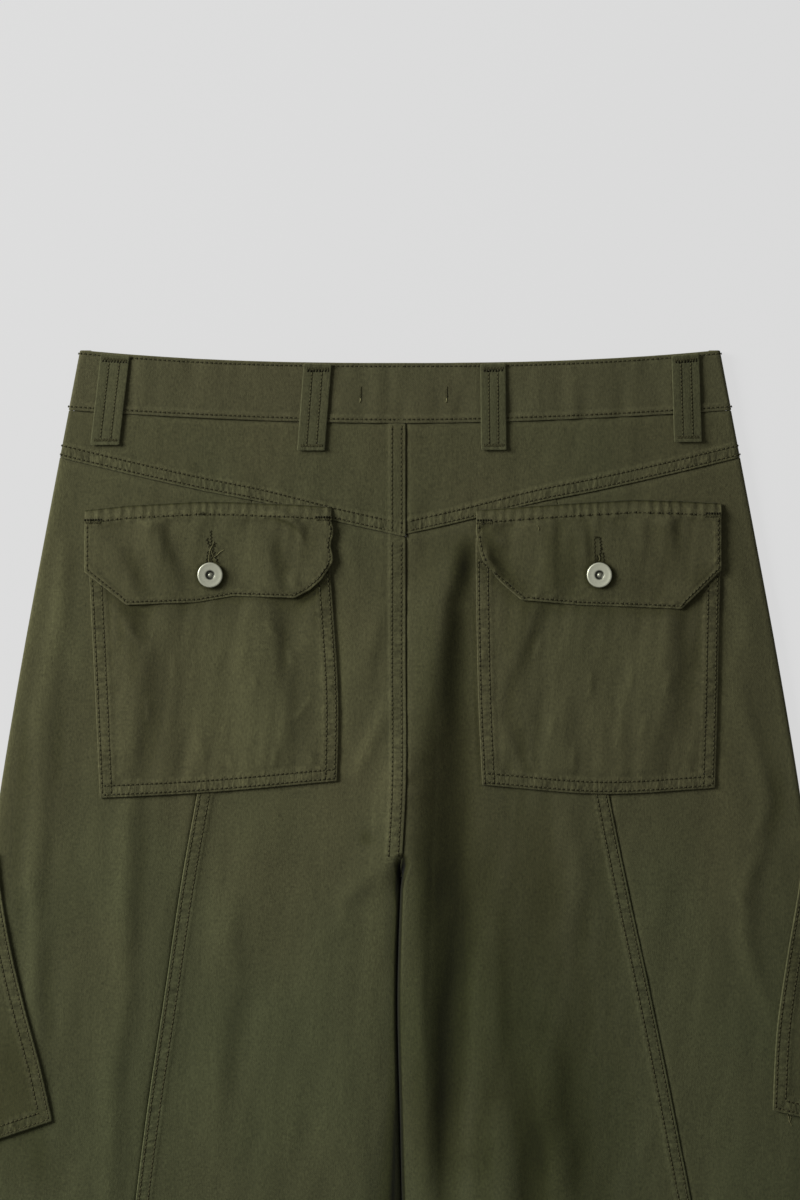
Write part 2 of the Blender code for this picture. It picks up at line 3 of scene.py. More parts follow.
import bpy
import numpy as np
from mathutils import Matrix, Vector


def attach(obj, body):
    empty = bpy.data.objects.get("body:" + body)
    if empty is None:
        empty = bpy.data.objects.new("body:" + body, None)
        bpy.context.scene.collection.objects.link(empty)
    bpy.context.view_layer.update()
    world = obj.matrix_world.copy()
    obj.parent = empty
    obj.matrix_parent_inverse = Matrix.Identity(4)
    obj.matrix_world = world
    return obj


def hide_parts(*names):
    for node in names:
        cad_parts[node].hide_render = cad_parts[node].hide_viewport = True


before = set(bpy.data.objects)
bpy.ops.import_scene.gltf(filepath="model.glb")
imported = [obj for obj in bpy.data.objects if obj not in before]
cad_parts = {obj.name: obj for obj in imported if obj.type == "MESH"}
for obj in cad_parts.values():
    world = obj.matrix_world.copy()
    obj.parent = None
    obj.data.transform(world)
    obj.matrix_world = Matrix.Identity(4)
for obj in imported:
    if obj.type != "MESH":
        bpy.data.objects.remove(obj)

print("cargo pants: frame loaded,", len(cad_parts), "nodes")
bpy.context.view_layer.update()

# Lengths are in metres. The waist is at +Y, the legs run towards -Y and the front lies on the floor.
# "Depth" is the distance down from the waist's side corners. "Around" runs over the surface from the middle
# of the back to the outer fold, round it and back along the underside. "Sign" is -1 left and 1 right.
mm = 0.001
length = 1.040
wall = 1.4 * mm
bandWall = 1.6 * mm
loopWall = 2.0 * mm
underWall = 1.6 * mm
seamGap = 0.03 * mm
underLap = 0.5 * mm
stackGap = 0.3 * mm
liftHigh = underWall + stackGap
liftEnds = (0.590, 0.720)
edgeSpace = 0.9 * mm
bodySpace = 2.3 * mm
leastSpace = 0.5 * mm
outerFade = 0.045
innerFade = dict(left=0.034, right=0.014)
foldRadius = wall + edgeSpace / 2
foldArc = math.pi * foldRadius
foldSteps = 10
lip = 1.6 * mm
rimPale = 0.42
roll = foldArc + lip
crotch = (0.326, 0.352)
ridgeEnds = (0.324, 0.362)
frontCrotch = (0.344, 0.352)
bandHeight = 0.039
bandProud = 0.4 * mm
hem = dict(height=0.026, rise=0.013, row=0.020, step=0.5 * mm)
viewEnds = 0.566

sides = (("left", -1), ("right", 1))

# By depth: the outer fold, the middle line, half the space between the legs, and the slanted seams.
levels = dict(
    depth=[0, 0.04, 0.12, 0.2, 0.29, 0.34, 0.42, 0.5, 0.6, 0.76, 0.9, 1.04],
    outer=[0.208, 0.2156, 0.2308, 0.2456, 0.2606, 0.2679, 0.2769, 0.2826, 0.285, 0.279, 0.264, 0.242],
    middle=[0.0037, 0.0037, 0.0037, 0.0037, 0.0036, 0.0009, -0.0016, 0, 0.002, 0.001, 0, 0],
    space=[0.00015, 0.00015, 0.00015, 0.00015, 0.00015, 0.0009, 0.0011, 0.0013, 0.0022, 0.006, 0.009, 0.012],
    slantLeft=[0.08, 0.086, 0.1, 0.115, 0.132, 0.141, 0.153, 0.165, 0.177, 0.19, 0.194, 0.19],
    slantRight=[0.085, 0.092, 0.106, 0.12, 0.136, 0.146, 0.163, 0.179, 0.197, 0.207, 0.204, 0.194],
)

# The legs' main folds in millimetres, each a list of (depth, x, width to the left, width to the right, rise).
legFolds = [
    # the fold from the right flap's corner down to the crotch and on beside the right leg's inner edge
    [(120, 44, 9, 6, 0), (137, 37, 12, 8, 1.5), (162, 28, 18, 10, 3.4), (195, 23, 17, 12, 4.4),
     (228, 19, 17, 14, 4.8), (247, 15, 16, 18, 5), (266, 10, 18, 20, 5.2), (292, 5, 20, 21, 5.4),
     (325, 4, 22, 21, 5.6), (338, 4, 22, 21, 5.6), (357, 6, 22, 19, 5.6), (390, 8.4, 24, 17, 5.4),
     (422, 11.5, 26, 13, 4.8), (487, 15.5, 28, 10, 3.8), (546, 18.5, 28, 9, 2.8), (640, 23, 28, 10, 1.5),
     (780, 26, 28, 12, 0)],
    [(120, 50, 8, 8, 0), (162, 40, 9, 11, -1.2), (228, 38, 10, 12, -1.4), (292, 40, 11, 13, -1.4),
     (338, 43, 11, 13, -1.4), (390, 40, 11, 13, -1.4), (422, 36, 10, 12, -1.2), (487, 32, 9, 12, -1.1),
     (546, 29, 9, 10, -1), (640, 29, 9, 9, 0)],
    # the left leg beside its inner edge
    [(322, -10, 14, 8, 0), (345, -16, 18, 14, 0.4), (390, -20, 20, 16, 0.4), (422, -22, 22, 17, 0.4),
     (487, -26, 28, 18, 0.6), (546, -30, 30, 20, 0.7), (700, -34, 28, 20, 0.7), (850, -36, 28, 14, 0)],
    # the right leg's middle
    [(300, 50, 14, 40, 0), (380, 52, 14, 45, 2.2), (487, 50, 16, 50, 3), (552, 48, 18, 50, 3),
     (760, 48, 18, 50, 0)],
    [(282, 107, 10, 7, 0), (305, 108, 11, 7, 0.8), (331, 112, 12, 7, 1.1), (351, 116, 12, 8, 1.1),
     (377, 110, 12, 8, 0.8), (400, 108, 12, 8, 0)],
    [(345, 62, 11, 6, 0), (377, 62, 12, 6.5, 0.6), (422, 61, 13, 6.5, 0.9), (442, 62, 13, 7, 1.1),
     (474, 64, 13, 7, 0.7), (505, 66, 13, 8, 0)],
    [(440, 92, 12, 9, 0), (465, 95, 12, 10, 1.5), (500, 98, 12, 10, 2.6), (528, 104, 12, 9, 2.8),
     (552, 106, 12, 9, 2.2), (640, 104, 14, 10, 1.2), (740, 104, 14, 10, 0)],
    [(485, 66, 10, 10, 0), (510, 68, 10, 11, 1.8), (552, 70, 12, 12, 3), (640, 70, 14, 14, 2),
     (760, 70, 14, 14, 0)],
    [(380, 125, 9, 6, 0), (400, 127, 9, 6, 0.5), (425, 127, 9, 6, 0.5), (445, 127, 9, 6, 0)],
    # the right leg near its outer edge
    [(215, 220, 8, 5, 0), (240, 224, 9, 6, 1), (262, 230, 9, 6, 1), (292, 238, 9, 5, 1.3),
     (325, 233, 9, 6, 1), (340, 227, 9, 6, 1.4), (357, 222, 9, 6, 1.2), (380, 222, 9, 6, 1.2),
     (406, 230, 8, 6, 0.8), (425, 237, 8, 5, 0.7), (445, 238, 8, 5, 0)],
    # the left leg near its outer edge
    [(115, -222, 6, 5, 0), (137, -220, 7, 6, 1.3), (175, -222, 8, 6, 1.4), (200, -226, 8, 6, 1),
     (240, -232, 9, 7, 1.4), (290, -234, 9, 8, 1.5), (330, -238, 8, 6, 1), (357, -238, 8, 6, 1.2),
     (422, -238, 8, 6, 1.4), (455, -236, 8, 6, 0.8), (490, -234, 8, 6, 0)],
    [(275, -176, 12, 7, 0), (300, -178, 14, 8, 1.8), (357, -180, 14, 8, 2.2), (422, -181, 14, 8, 2),
     (470, -187, 14, 8, 1.4), (520, -190, 12, 8, 0.9), (640, -190, 12, 8, 0)],
    # the left leg's middle
    [(345, -112, 14, 10, 0), (380, -113, 14, 12, 1.7), (410, -112, 14, 12, 1.5), (440, -118, 14, 8, 1.1),
     (474, -122, 12, 8, 1.5), (500, -122, 12, 8, 1), (540, -122, 12, 8, 0)],
    [(560, -60, 20, 12, 0), (700, -70, 22, 14, 2.2), (900, -84, 22, 14, 0)],
    [(560, 150, 20, 12, 0), (700, 140, 22, 14, 2), (920, 120, 22, 14, 0)],
]

# Short creases that run across the legs, in millimetres: (x0, depth0, x1, depth1, width, rise).
legCreases = [
    (-2.6, 221, -32, 281, 6, 1.3), (-8, 162, -31, 221, 8, 1), (-9, 317, -24, 328, 6, 0.5),
    (-16, 341, -44, 361, 7, 0.6), (-31, 365, -62, 391, 8, 0.7), (-36, 118, -28, 150, 6, 0.8),
    (-262, 352, -250, 378, 6, 0.7), (20, 262, 8, 284, 5, -0.5), (212, 120, 226, 200, 8, 0.8),
    (238, 300, 226, 322, 3, 0.5), (216, 348, 228, 368, 3, 0.5), (-244, 338, -236, 360, 3, 0.5),
]

# Painted light and shade on the legs, along the folds, beside the pockets and at the left leg's outer rim, in
# millimetres, and changes of shade as shares: (depth, x, width to the left, width to the right, change of
# shade).
legShadeTones = [
    [(118, 44, 4, 5, 0), (128, 43, 6, 6, -0.4), (140, 41, 7, 7, -0.48), (162, 37, 9, 9, -0.44),
     (190, 33, 11, 12, -0.44), (228, 29, 13, 14, -0.46), (255, 24, 12, 18, -0.5),
     (290, 24, 13, 20, -0.54), (338, 24, 12, 22, -0.56), (390, 25, 11, 20, -0.56),
     (422, 26, 11, 18, -0.55), (487, 25, 10, 15, -0.54), (520, 23, 9, 11, -0.44), (560, 21, 9, 10, -0.16),
     (640, 21, 9, 9, 0)],
    [(270, 70, 34, 60, 0), (340, 76, 38, 62, -0.12), (400, 78, 40, 62, -0.22), (487, 82, 42, 60, -0.34),
     (552, 84, 40, 58, -0.26), (700, 86, 40, 60, 0)],
    [(270, 14, 6, 6, 0), (345, 10, 8, 8, -0.1), (480, 12, 8, 8, -0.12), (560, 14, 8, 8, 0)],
    [(425, 100, 12, 14, 0), (465, 104, 14, 16, -0.12), (535, 110, 14, 16, -0.14), (640, 110, 16, 16, 0)],
    [(485, 80, 10, 14, 0), (530, 82, 12, 16, -0.1), (620, 84, 12, 16, 0)],
    [(110, -30, 18, 16, 0), (150, -28, 18, 16, 0.06), (240, -28, 22, 20, 0.11), (330, -34, 34, 22, 0.12),
     (420, -62, 70, 34, 0.06), (600, -66, 70, 44, 0.04), (700, -66, 70, 44, 0)],
    [(262, -12, 5, 6, 0), (275, -9, 6, 6, 0.09), (330, -9, 6, 5, 0.12), (370, -11, 7, 5, 0.1),
     (395, -15, 8, 7, 0.08), (422, -21, 9, 9, 0.06), (487, -32, 9, 9, 0)],
    [(352, 65, 4, 4, 0), (380, 65, 4, 4, -0.08), (442, 66, 4, 4, -0.15), (478, 64, 4, 4, 0)],
    [(250, 190, 40, 60, 0), (330, 170, 60, 70, 0.03), (480, 150, 60, 70, 0.03), (640, 150, 60, 70, 0)],
    [(100, 22, 14, 12, 0), (125, 22, 16, 12, -0.1), (200, 12, 12, 10, -0.1), (300, 4, 8, 8, 0)],
    [(60, -216, 4, 5, 0.12), (120, -228, 4, 5, 0.16), (200, -243, 4, 5, 0.16), (290, -258, 4, 5, 0.16),
     (420, -275, 4, 5, 0.12)],
    [(345, 8, 7, 8, 0), (380, 9, 7, 8, -0.08), (480, 10, 7, 8, -0.1), (560, 12, 7, 8, 0)],
    [(332, -11, 7, 6, 0), (345, -11, 7, 6, 0.34), (370, -14, 9, 6, 0.3), (400, -14, 9, 5, 0.18),
     (440, -14, 9, 6, 0.14), (490, -14, 9, 6, 0.12), (530, -16, 9, 6, 0)],
    # beside the pockets' edges: painted shade, and painted light that eases the pockets' cast shadows
    [(160, 47.6, 1.3, 1.2, 0), (172, 48.2, 1.3, 1.2, -0.2), (226, 49.4, 1.3, 1.2, -0.25),
     (285, 52.4, 1.3, 1.2, -0.2), (290, 52.6, 1.3, 1.2, 0)],
    [(165, -41.6, 1.3, 1.8, 0), (176, -41, 1.3, 1.8, 0.5), (226, -38, 1.3, 1.8, 0.6),
     (274, -38.8, 1.3, 1.8, 0.5), (284, -39, 1.3, 1.8, 0)],
    [(165, 209.8, 1.3, 1.8, 0), (176, 209.5, 1.3, 1.8, 0.4), (226, 208.5, 1.3, 1.8, 0.5),
     (280, 207, 1.3, 1.8, 0.4), (290, 206.8, 1.3, 1.8, 0)],
]
# Painted shade in creases that run across the legs:
# (x0, depth0, x1, depth1, width, change of shade in thousandths).
creaseShade = [
    (-15, 343, -37, 362, 4.5, -170), (-36, 361, -63, 388, 6, -110), (-27, 314, -15, 323, 4, -130),
    (-24, 190, -16, 204, 4, -80),
]
# Where the legs' edges part lower down, as painted shade and as a hollow.
gapShade = [
    [(466, -1.6, 1.5, 1.5, 0), (496, -1.6, 3.2, 1.4, -0.55), (525, -1.3, 4.2, 1.4, -0.8),
     (552, -1, 6, 1.6, -0.85), (590, -1, 8, 2, -0.9), (680, -1, 6, 3, 0)],
]
gapDips = [
    [(466, -2, 2, 2, 0), (496, -2, 6, 4, -0.8), (552, -2, 10, 6, -1.8), (590, -2, 11, 7, -1.8),
     (680, -2, 9, 7, 0)],
]
# Painted shade in the hollow under the crotch.
crotchShade = [
    [(325, 1.8, 0.5, 0.5, 0), (329, 1.7, 3.8, 2.4, -0.95), (334, 1.9, 4.6, 3, -1), (339, 1, 4.2, 2.4, -1),
     (345, -0.5, 3.4, 2, -0.98), (354, -2, 1.8, 1.2, -0.7), (364, -2.4, 1, 0.8, 0)],
]
# Painted shade on the left leg towards its inner edge, which turns away from the light.
innerEdgeShade = [
    [(338, -1, 2.4, 2, 0), (352, -2.4, 3.4, 3, -0.3), (390, -2.6, 4, 3, -0.45),
     (430, -1.8, 4.4, 4, -0.45), (490, -2.6, 6, 4, -0.45), (560, -3, 12, 5, -0.42), (700, -3.4, 12, 5, 0)],
]
# Patches of painted light and shade, with some washed mottling among them: (x, depth, width across, width
# down, change of shade).
legShadePatches = [
    (-39, 215, 7, 40, 0.22), (-75, 306, 30, 20, 0.15), (-112, 350, 34, 50, 0.1), (-176, 410, 14, 60, 0.1),
    (-252, 485, 22, 45, -0.2), (-20, 215, 12, 60, 0.08), (3, 165, 8, 35, 0.1), (214, 225, 10, 70, 0.14),
    (58, 420, 12, 110, -0.15), (95, 505, 12, 40, -0.18), (84, 285, 14, 60, -0.1), (39, 138, 6, 14, -0.3),
    (235, 330, 14, 30, -0.12), (-228, 175, 12, 26, 0.2), (-214, 195, 7, 20, 0.16), (-56, 172, 9, 7, -0.2),
    (43, 370, 10, 60, -0.14), (-252, 460, 16, 34, -0.1), (-20, 408, 9, 40, 0.14), (-78, 345, 16, 24, 0.1),
    (-215, 325, 12, 30, 0.08), (214, 270, 9, 40, 0.08), (122, 268, 14, 10, 0.1), (242, 290, 12, 22, -0.12),
    (-39, 192, 6, 22, 0.22), (-28, 262, 16, 16, 0.14), (-20, 318, 8, 9, -0.26), (-195, 318, 9, 16, 0.12),
    (-78, 280, 12, 26, 0.1), (-70, 505, 20, 30, 0.12), (205, 200, 14, 34, 0.14), (240, 345, 8, 22, 0.2),
    (254, 318, 6, 10, 0.16), (256, 396, 7, 18, -0.18), (20, 345, 9, 24, -0.18), (44, 250, 9, 30, -0.12),
    (94, 510, 11, 26, -0.1), (46, 526, 16, 12, -0.14), (92, 350, 12, 30, -0.1), (-238, 270, 12, 26, -0.16),
    (-234, 526, 12, 20, -0.18), (40, 165, 5, 10, 0.14),
]
# The slot between the legs is painted this dark, as the shade deep inside it.
slotShade = -0.95
innerRoll = dict(swell=1.6 * mm, closing=2.2, turn=2.62, wide=0.42, past=1.0 * mm, ends=(0.600, 0.640))

yokeSeam = dict(
    across=[-0.004, 0.04, 0.092, 0.125, 0.187, 0.222],
    depth=[0.1215, 0.1115, 0.0985, 0.092, 0.078, 0.0695],
)


def smoothStep(value, start, end):
    # Cubic step: 3t^2 - 2t^3, where t is the clipped share of the way from start to end.
    t = np.clip((value - start) / (end - start), 0.0, 1.0)
    return t * t * (3.0 - 2.0 * t)


def bell(value, width):
    # Gaussian bell: e to minus the square of value over width.
    return np.exp(-((value / width) ** 2))


def unit(vectors):
    # Vectors brought to length 1.
    return vectors / np.maximum(np.linalg.norm(vectors, axis=-1, keepdims=True), 1e-12)


def smoothLine(table, along, column):
    # Cubic Hermite line through a table's points, with slopes from the neighbouring points.
    places = np.array(table[along])
    values = np.array(table[column])
    slopes = np.gradient(values, places)

    def read(at):
        at = np.clip(at, places[0], places[-1])
        i = np.clip(np.searchsorted(places, at) - 1, 0, len(places) - 2)
        step = places[i + 1] - places[i]
        t = (at - places[i]) / step
        start = (2 * t ** 3 - 3 * t ** 2 + 1) * values[i] + (t ** 3 - 2 * t ** 2 + t) * step * slopes[i]
        end = (3 * t ** 2 - 2 * t ** 3) * values[i + 1] + (t ** 3 - t ** 2) * step * slopes[i + 1]
        return start + end

    return read


def straightLine(table, along, column):
    # A line through a table's points, straight from point to point.
    return lambda at: np.interp(at, table[along], table[column])


def latticeNoise(u, v, seed, size=64):
    # Random heights from -1 to 1 on whole numbers of u and v, blended between them by smooth steps.
    table = np.random.default_rng(seed).uniform(-1.0, 1.0, (size, size))
    u, v = np.broadcast_arrays(u, v)
    iu = np.floor(u).astype(int)
    iv = np.floor(v).astype(int)
    su = smoothStep(u - iu, 0.0, 1.0)
    sv = smoothStep(v - iv, 0.0, 1.0)
    near, far, low, high = iu % size, (iu + 1) % size, iv % size, (iv + 1) % size
    below = table[near, low] * (1 - su) + table[far, low] * su
    above = table[near, high] * (1 - su) + table[far, high] * su
    return below * (1 - sv) + above * sv


def wrinkles(x, depth, sizeX, sizeDepth, seed):
    # Two octaves of lattice noise, stretched along the cloth's length and sheared a little.
    u = (x + 0.12 * depth) / sizeX
    v = depth / sizeDepth
    return 0.7 * latticeNoise(u + 3.1, v, seed) + 0.3 * latticeNoise(2.1 * u, 1.9 * v + 7.7, seed + 1)


def foldRise(x, depth, folds):
    # Each fold is a bell across its line, with its own width on either side, and its rise follows its table.
    total = np.zeros(np.broadcast(x, depth).shape)
    for fold in folds:
        table = np.array(fold) * mm
        lineX, left, right, rise = (np.interp(depth, table[:, 0], table[:, k]) for k in range(1, 5))
        aside = x - lineX
        total += rise * bell(aside, np.where(aside < 0.0, left, right))
    return total


def blobRise(x, depth, blobs):
    # Each blob is a bell in both directions: (x, depth, width across, width down, rise), in millimetres.
    total = np.zeros(np.broadcast(x, depth).shape)
    for blobX, blobDepth, wide, tall, rise in blobs:
        total += rise * mm * bell(x - blobX * mm, wide * mm) * bell(depth - blobDepth * mm, tall * mm)
    return total


def creaseRise(x, depth, creases):
    # Each crease is a bell across a straight line, fading towards both of its ends.
    total = np.zeros(np.broadcast(x, depth).shape)
    for crease in creases:
        x0, depth0, x1, depth1, width, rise = (value * mm for value in crease)
        runX, runDepth = x1 - x0, depth1 - depth0
        share = ((x - x0) * runX + (depth - depth0) * runDepth) / (runX ** 2 + runDepth ** 2)
        share = np.clip(share, 0.0, 1.0)
        aside = np.hypot(x - x0 - share * runX, depth - depth0 - share * runDepth)
        total += rise * bell(aside, width) * np.sin(math.pi * share) ** 0.7
    return total


def legShading(x, depth):
    # All the legs' painted light and shade together: along the folds, across the legs, and in patches.
    tone = foldRise(x, depth, legShadeTones) / mm + creaseRise(x, depth, creaseShade)
    return tone + blobRise(x, depth, legShadePatches) / mm


outerLine = smoothLine(levels, "depth", "outer")
middleLine = smoothLine(levels, "depth", "middle")
spaceLine = smoothLine(levels, "depth", "space")
yokeDepth = smoothLine(yokeSeam, "across", "depth")


def hemDepth(across):
    # The hem rises towards the outer fold.
    return length - hem["rise"] * np.maximum(across - spaceLine(length), 0.0) / outerLine(length)


def lift(depth):
    # A wall and a gap down to the knee, then a smooth step to the floor.
    return liftHigh * (1.0 - smoothStep(depth, *liftEnds))


def innerEdge(sign, depth):
    # The middle line, and half of the space beside it, which opens at the crotch.
    opening = np.minimum(spaceLine(depth), seamGap / 2 + 0.9 * mm * smoothStep(depth, *crotch))
    return sign * middleLine(depth) + np.where(depth < crotch[1], opening, spaceLine(depth))


def foldStart(depth):
    # Where the outer fold's half circle begins.
    return outerLine(depth) - foldRadius


def underEdge(depth):
    # Where the half circle ends, on the underside.
    return foldStart(depth) + foldArc


def underLip(depth):
    # A panel's end on the underside, one lip past the half circle.
    return underEdge(depth) + lip


def rollStart(sign, depth):
    # Where the upper layer begins to roll under at the inner edge, once the seat seam has ended.
    rolled = smoothStep(depth, *crotch)
    return innerEdge(sign, depth) + (1.0 - rolled) * roll + rolled * foldRadius


legRelief = dict(foldFade=0.014, edgeFade=(-0.001, 0.013), wave=0.85 * mm, waveSize=(0.026, 0.085),
                 waveBegins=(0.11, 0.20), crumple=0.32 * mm, crumpleSize=(0.011, 0.034), soft=0.5 * mm)


def topHeight(sign, across, depth):
    # Lift, two walls, and the space between the layers with the folds added, held above its least.
    x = sign * across
    fromFold = foldStart(depth) - across
    outerShare = smoothStep(fromFold, 0.0, outerFade)
    seated = smoothStep(depth, *crotch)
    inner = across - innerEdge(sign, depth) - foldRadius
    innerShare = 1.0 - seated * (1.0 - smoothStep(inner, 0.0, innerFade["left" if sign < 0 else "right"]))
    foldShare = smoothStep(fromFold, 0.0, legRelief["foldFade"])
    ridge = foldRise(x, depth, legFolds[:1])
    if sign < 0:
        foldShare = foldShare * (1.0 - seated * (1.0 - smoothStep(inner, *legRelief["edgeFade"])))
        ridge = ridge * (1.0 - smoothStep(depth, *ridgeEnds))
    relief = ridge + foldRise(x, depth, legFolds[1:] + gapDips) + creaseRise(x, depth, legCreases)
    waves = legRelief["wave"] * wrinkles(x, depth, *legRelief["waveSize"], 11)
    relief += waves * smoothStep(depth, *legRelief["waveBegins"])
    relief += legRelief["crumple"] * wrinkles(x, depth, *legRelief["crumpleSize"], 23)
    space = edgeSpace + (bodySpace - edgeSpace) * outerShare * innerShare + relief * foldShare
    held = 0.5 * (space + leastSpace + np.sqrt((space - leastSpace) ** 2 + legRelief["soft"] ** 2))
    hemmed = hem["step"] * smoothStep(hemDepth(across) - depth, hem["height"] + 0.003, hem["height"])
    return lift(depth) + 2 * wall + held + hemmed * outerShare * innerShare


def skin(sign, around, depth, out=0.0):
    # A point of the garment's outer face moved out by a distance: flat over the top, half a circle round the
    # outer fold, flat along the underside, and half an ellipse as high as the leg under its inner edge. The
    # left leg's ellipse swells out low down, and so closes the slot between the legs.
    around, depth, out = np.broadcast_arrays(around, depth, out)
    begins = foldStart(depth)
    turn = (around - begins) / foldRadius
    halfTurn = np.clip(turn, 0.0, math.pi)
    across = np.minimum(around, begins) + (foldRadius + out) * np.sin(halfTurn)
    across = across - np.maximum(around - underEdge(depth), 0.0)
    flatTop = topHeight(sign, np.minimum(around, begins), depth) + out
    rolledDown = lift(depth) + foldRadius + (foldRadius + out) * np.cos(halfTurn)
    height = np.where(turn > 0.0, rolledDown, flatTop)

    rolled = smoothStep(depth, *crotch)
    beyond = np.clip(rollStart(sign, depth) - around, 0.0, roll)
    angle = np.minimum(beyond, foldArc) / foldRadius
    swell = np.clip(spaceLine(depth) - seamGap / 2, 0.0, innerRoll["swell"]) * np.sin(angle) ** 2
    if sign < 0:
        reach = (2.0 * spaceLine(depth) + innerRoll["past"]) * (1.0 - smoothStep(depth, *innerRoll["ends"]))
        reach = reach * bell(angle - innerRoll["turn"], innerRoll["wide"])
        swell = np.maximum(swell, reach * (beyond < foldArc))
    closing = 4.0 * rolled * (1.0 - rolled) * innerRoll["closing"] * mm * beyond / roll
    edge = innerEdge(sign, depth)
    flatAcross = edge + roll - beyond
    rolledAcross = edge + foldRadius - (foldRadius + out) * np.sin(angle) - swell
    rolledAcross = rolledAcross + np.maximum(beyond - foldArc, 0.0)
    flatHeight = topHeight(sign, flatAcross, depth) + out
    half = 0.5 * (topHeight(sign, edge + foldRadius, depth) - lift(depth))
    rolledHeight = lift(depth) + half + (half + out) * np.cos(angle)
    inner = (beyond > 0.0) & (rolled > 0.0)
    across = np.where(inner, flatAcross + rolled * (rolledAcross - flatAcross) - closing, across)
    height = np.where(inner, flatHeight + rolled * (rolledHeight - flatHeight), height)
    return np.stack([sign * across, length / 2 - depth, height], axis=-1)


def spread(shares, places, stops, upper, lower):
    # Lays a grid between lines: a whole number in places stands on a stop, which depends on the depth, and
    # the shares run from upper to lower, which depend on the distance around. A few rounds meet both.
    share, place = np.meshgrid(np.array(shares), np.array(places), indexing="ij")
    first = np.clip(place.astype(int), 0, len(stops) - 2)
    depth = np.full(share.shape, upper(stops[0](0.1)))
    for _ in range(12):
        lines = np.stack([np.broadcast_to(stop(depth), depth.shape) for stop in stops])
        before = np.take_along_axis(lines, first[None], axis=0)[0]
        after = np.take_along_axis(lines, first[None] + 1, axis=0)[0]
        around = before + (place - first) * (after - before)
        depth = upper(around) + share * (lower(around) - upper(around))
    return around, depth


def even(count):
    # Shares from 0 to 1 in equal steps.
    return list(np.linspace(0.0, 1.0, count + 1))


def stopPlaces(counts):
    # One count of steps for each stretch between two stops.
    places = [0.0]
    for k, count in enumerate(counts):
        places += [k + share for share in even(count)[1:]]
    return places


def gridNormals(points, sign):
    # The outward normals of a grid: the cross product of its steps down and around.
    return unit(np.cross(np.gradient(points, axis=0), np.gradient(points, axis=1)) * sign)


def blurred(values, rounds):
    # Repeated means of each value with its four neighbours.
    for _ in range(rounds):
        padded = np.pad(values, 1, mode="edge")
        values = (padded[:-2, 1:-1] + padded[2:, 1:-1] + padded[1:-1, :-2] + padded[1:-1, 2:] + values) / 5
    return values


def borderLoop(grid):
    # The numbers round a grid's border, in the order of its faces' edges.
    return np.concatenate([grid[:, 0], grid[-1, 1:], grid[-2::-1, -1], grid[0, -2:0:-1]])


def newPiece(name, verts, faces, slot, material=None, **values):
    # A piece from points and faces, with a named value or vector at each of its points.
    mesh = bpy.data.meshes.new(name)
    mesh.from_pydata(verts.tolist(), [], faces)
    for label, value in values.items():
        kind, field = ("FLOAT", "value") if value.ndim == 1 else ("FLOAT_VECTOR", "vector")
        mesh.attributes.new(label, kind, "POINT").data.foreach_set(field, value.astype(np.float32).ravel())
    mesh.shade_smooth()
    mesh.materials.append(materials[material or slot])
    piece = bpy.data.objects.new(name, mesh)
    bpy.context.scene.collection.objects.link(piece)
    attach(piece, "root")
    return piece


def clothShell(name, points, thickness, sign, wear, seam, slot, skip=6, rimSteps=6):
    # The outer face is the grid of points. Half a circle as high as the wall carries its border round, and
    # the hidden face lies one wall below, with only every few columns.
    rows, columns = points.shape[:2]
    normals = gridNormals(points, sign)
    grid = np.arange(rows * columns).reshape(rows, columns)
    quads = np.stack([grid[:-1, :-1], grid[1:, :-1], grid[1:, 1:], grid[:-1, 1:]], axis=-1)

    loop = borderLoop(grid)
    border = points.reshape(-1, 3)[loop]
    up = normals.reshape(-1, 3)[loop]
    outward = unit(np.cross(np.roll(border, -1, axis=0) - np.roll(border, 1, axis=0), up) * sign)
    angles = np.linspace(0.0, math.pi, rimSteps + 1)[1:, None, None]
    rim = border + thickness / 2 * (np.sin(angles) * outward - (1.0 - np.cos(angles)) * up)
    rings = rows * columns + np.arange(rimSteps * len(loop)).reshape(rimSteps, -1)
    rings = np.concatenate([loop[None], rings])
    ahead = np.roll(rings, -1, axis=1)
    rimQuads = np.stack([ahead[:-1], rings[:-1], rings[1:], ahead[1:]], axis=-1)

    picks = np.unique(np.append(np.arange(0, columns, skip), columns - 1))
    under = np.full((rows, columns), -1)
    under.reshape(-1)[loop] = rings[-1]
    inside = np.ix_(np.arange(1, rows - 1), picks[1:-1])
    hidden = (points - thickness * normals)[inside]
    start = rings.max() + 1
    under[inside] = start + np.arange(hidden.shape[0] * hidden.shape[1]).reshape(hidden.shape[:2])
    body = under[1:-1][:, picks]
    hiddenQuads = np.stack([body[:-1, :-1], body[:-1, 1:], body[1:, 1:], body[1:, :-1]], axis=-1)
    strips = []
    for first, last in zip(picks[:-1], picks[1:]):
        strips.append([under[1, first], *under[0, first:last + 1], under[1, last]])
        strips.append([under[-2, last], *under[-1, first:last + 1][::-1], under[-2, first]])

    faces = [face for part in (quads, rimQuads, hiddenQuads) for face in part.reshape(-1, 4).tolist()]
    faces += [[int(i) for i in strip] for strip in strips]
    if sign < 0:
        faces = [face[::-1] for face in faces]
    verts = np.concatenate([points.reshape(-1, 3), rim.reshape(-1, 3), hidden.reshape(-1, 3)])
    inner = len(verts) - start
    wear, seam = wear.reshape(-1), seam.reshape(-1, 3)
    # The rim adds a pale worn edge to the wear and the painted light and shade carried over from the border.
    wearOnRim = np.tile(wear[loop], rimSteps) + np.repeat(rimPale * np.sin(angles[:, 0, 0]), len(loop))
    wear = np.concatenate([wear, wearOnRim, np.zeros(inner)])
    seam = np.concatenate([seam, np.tile(seam[loop], (rimSteps, 1)), np.full((inner, 3), 1.0)])
    return newPiece(name, verts, faces, slot, wear=wear, seam=seam)


def noSeam(shape):
    # Along, aside and strength of a seam, far from any.
    return np.stack([np.zeros(shape), np.ones(shape), np.zeros(shape)], axis=-1)


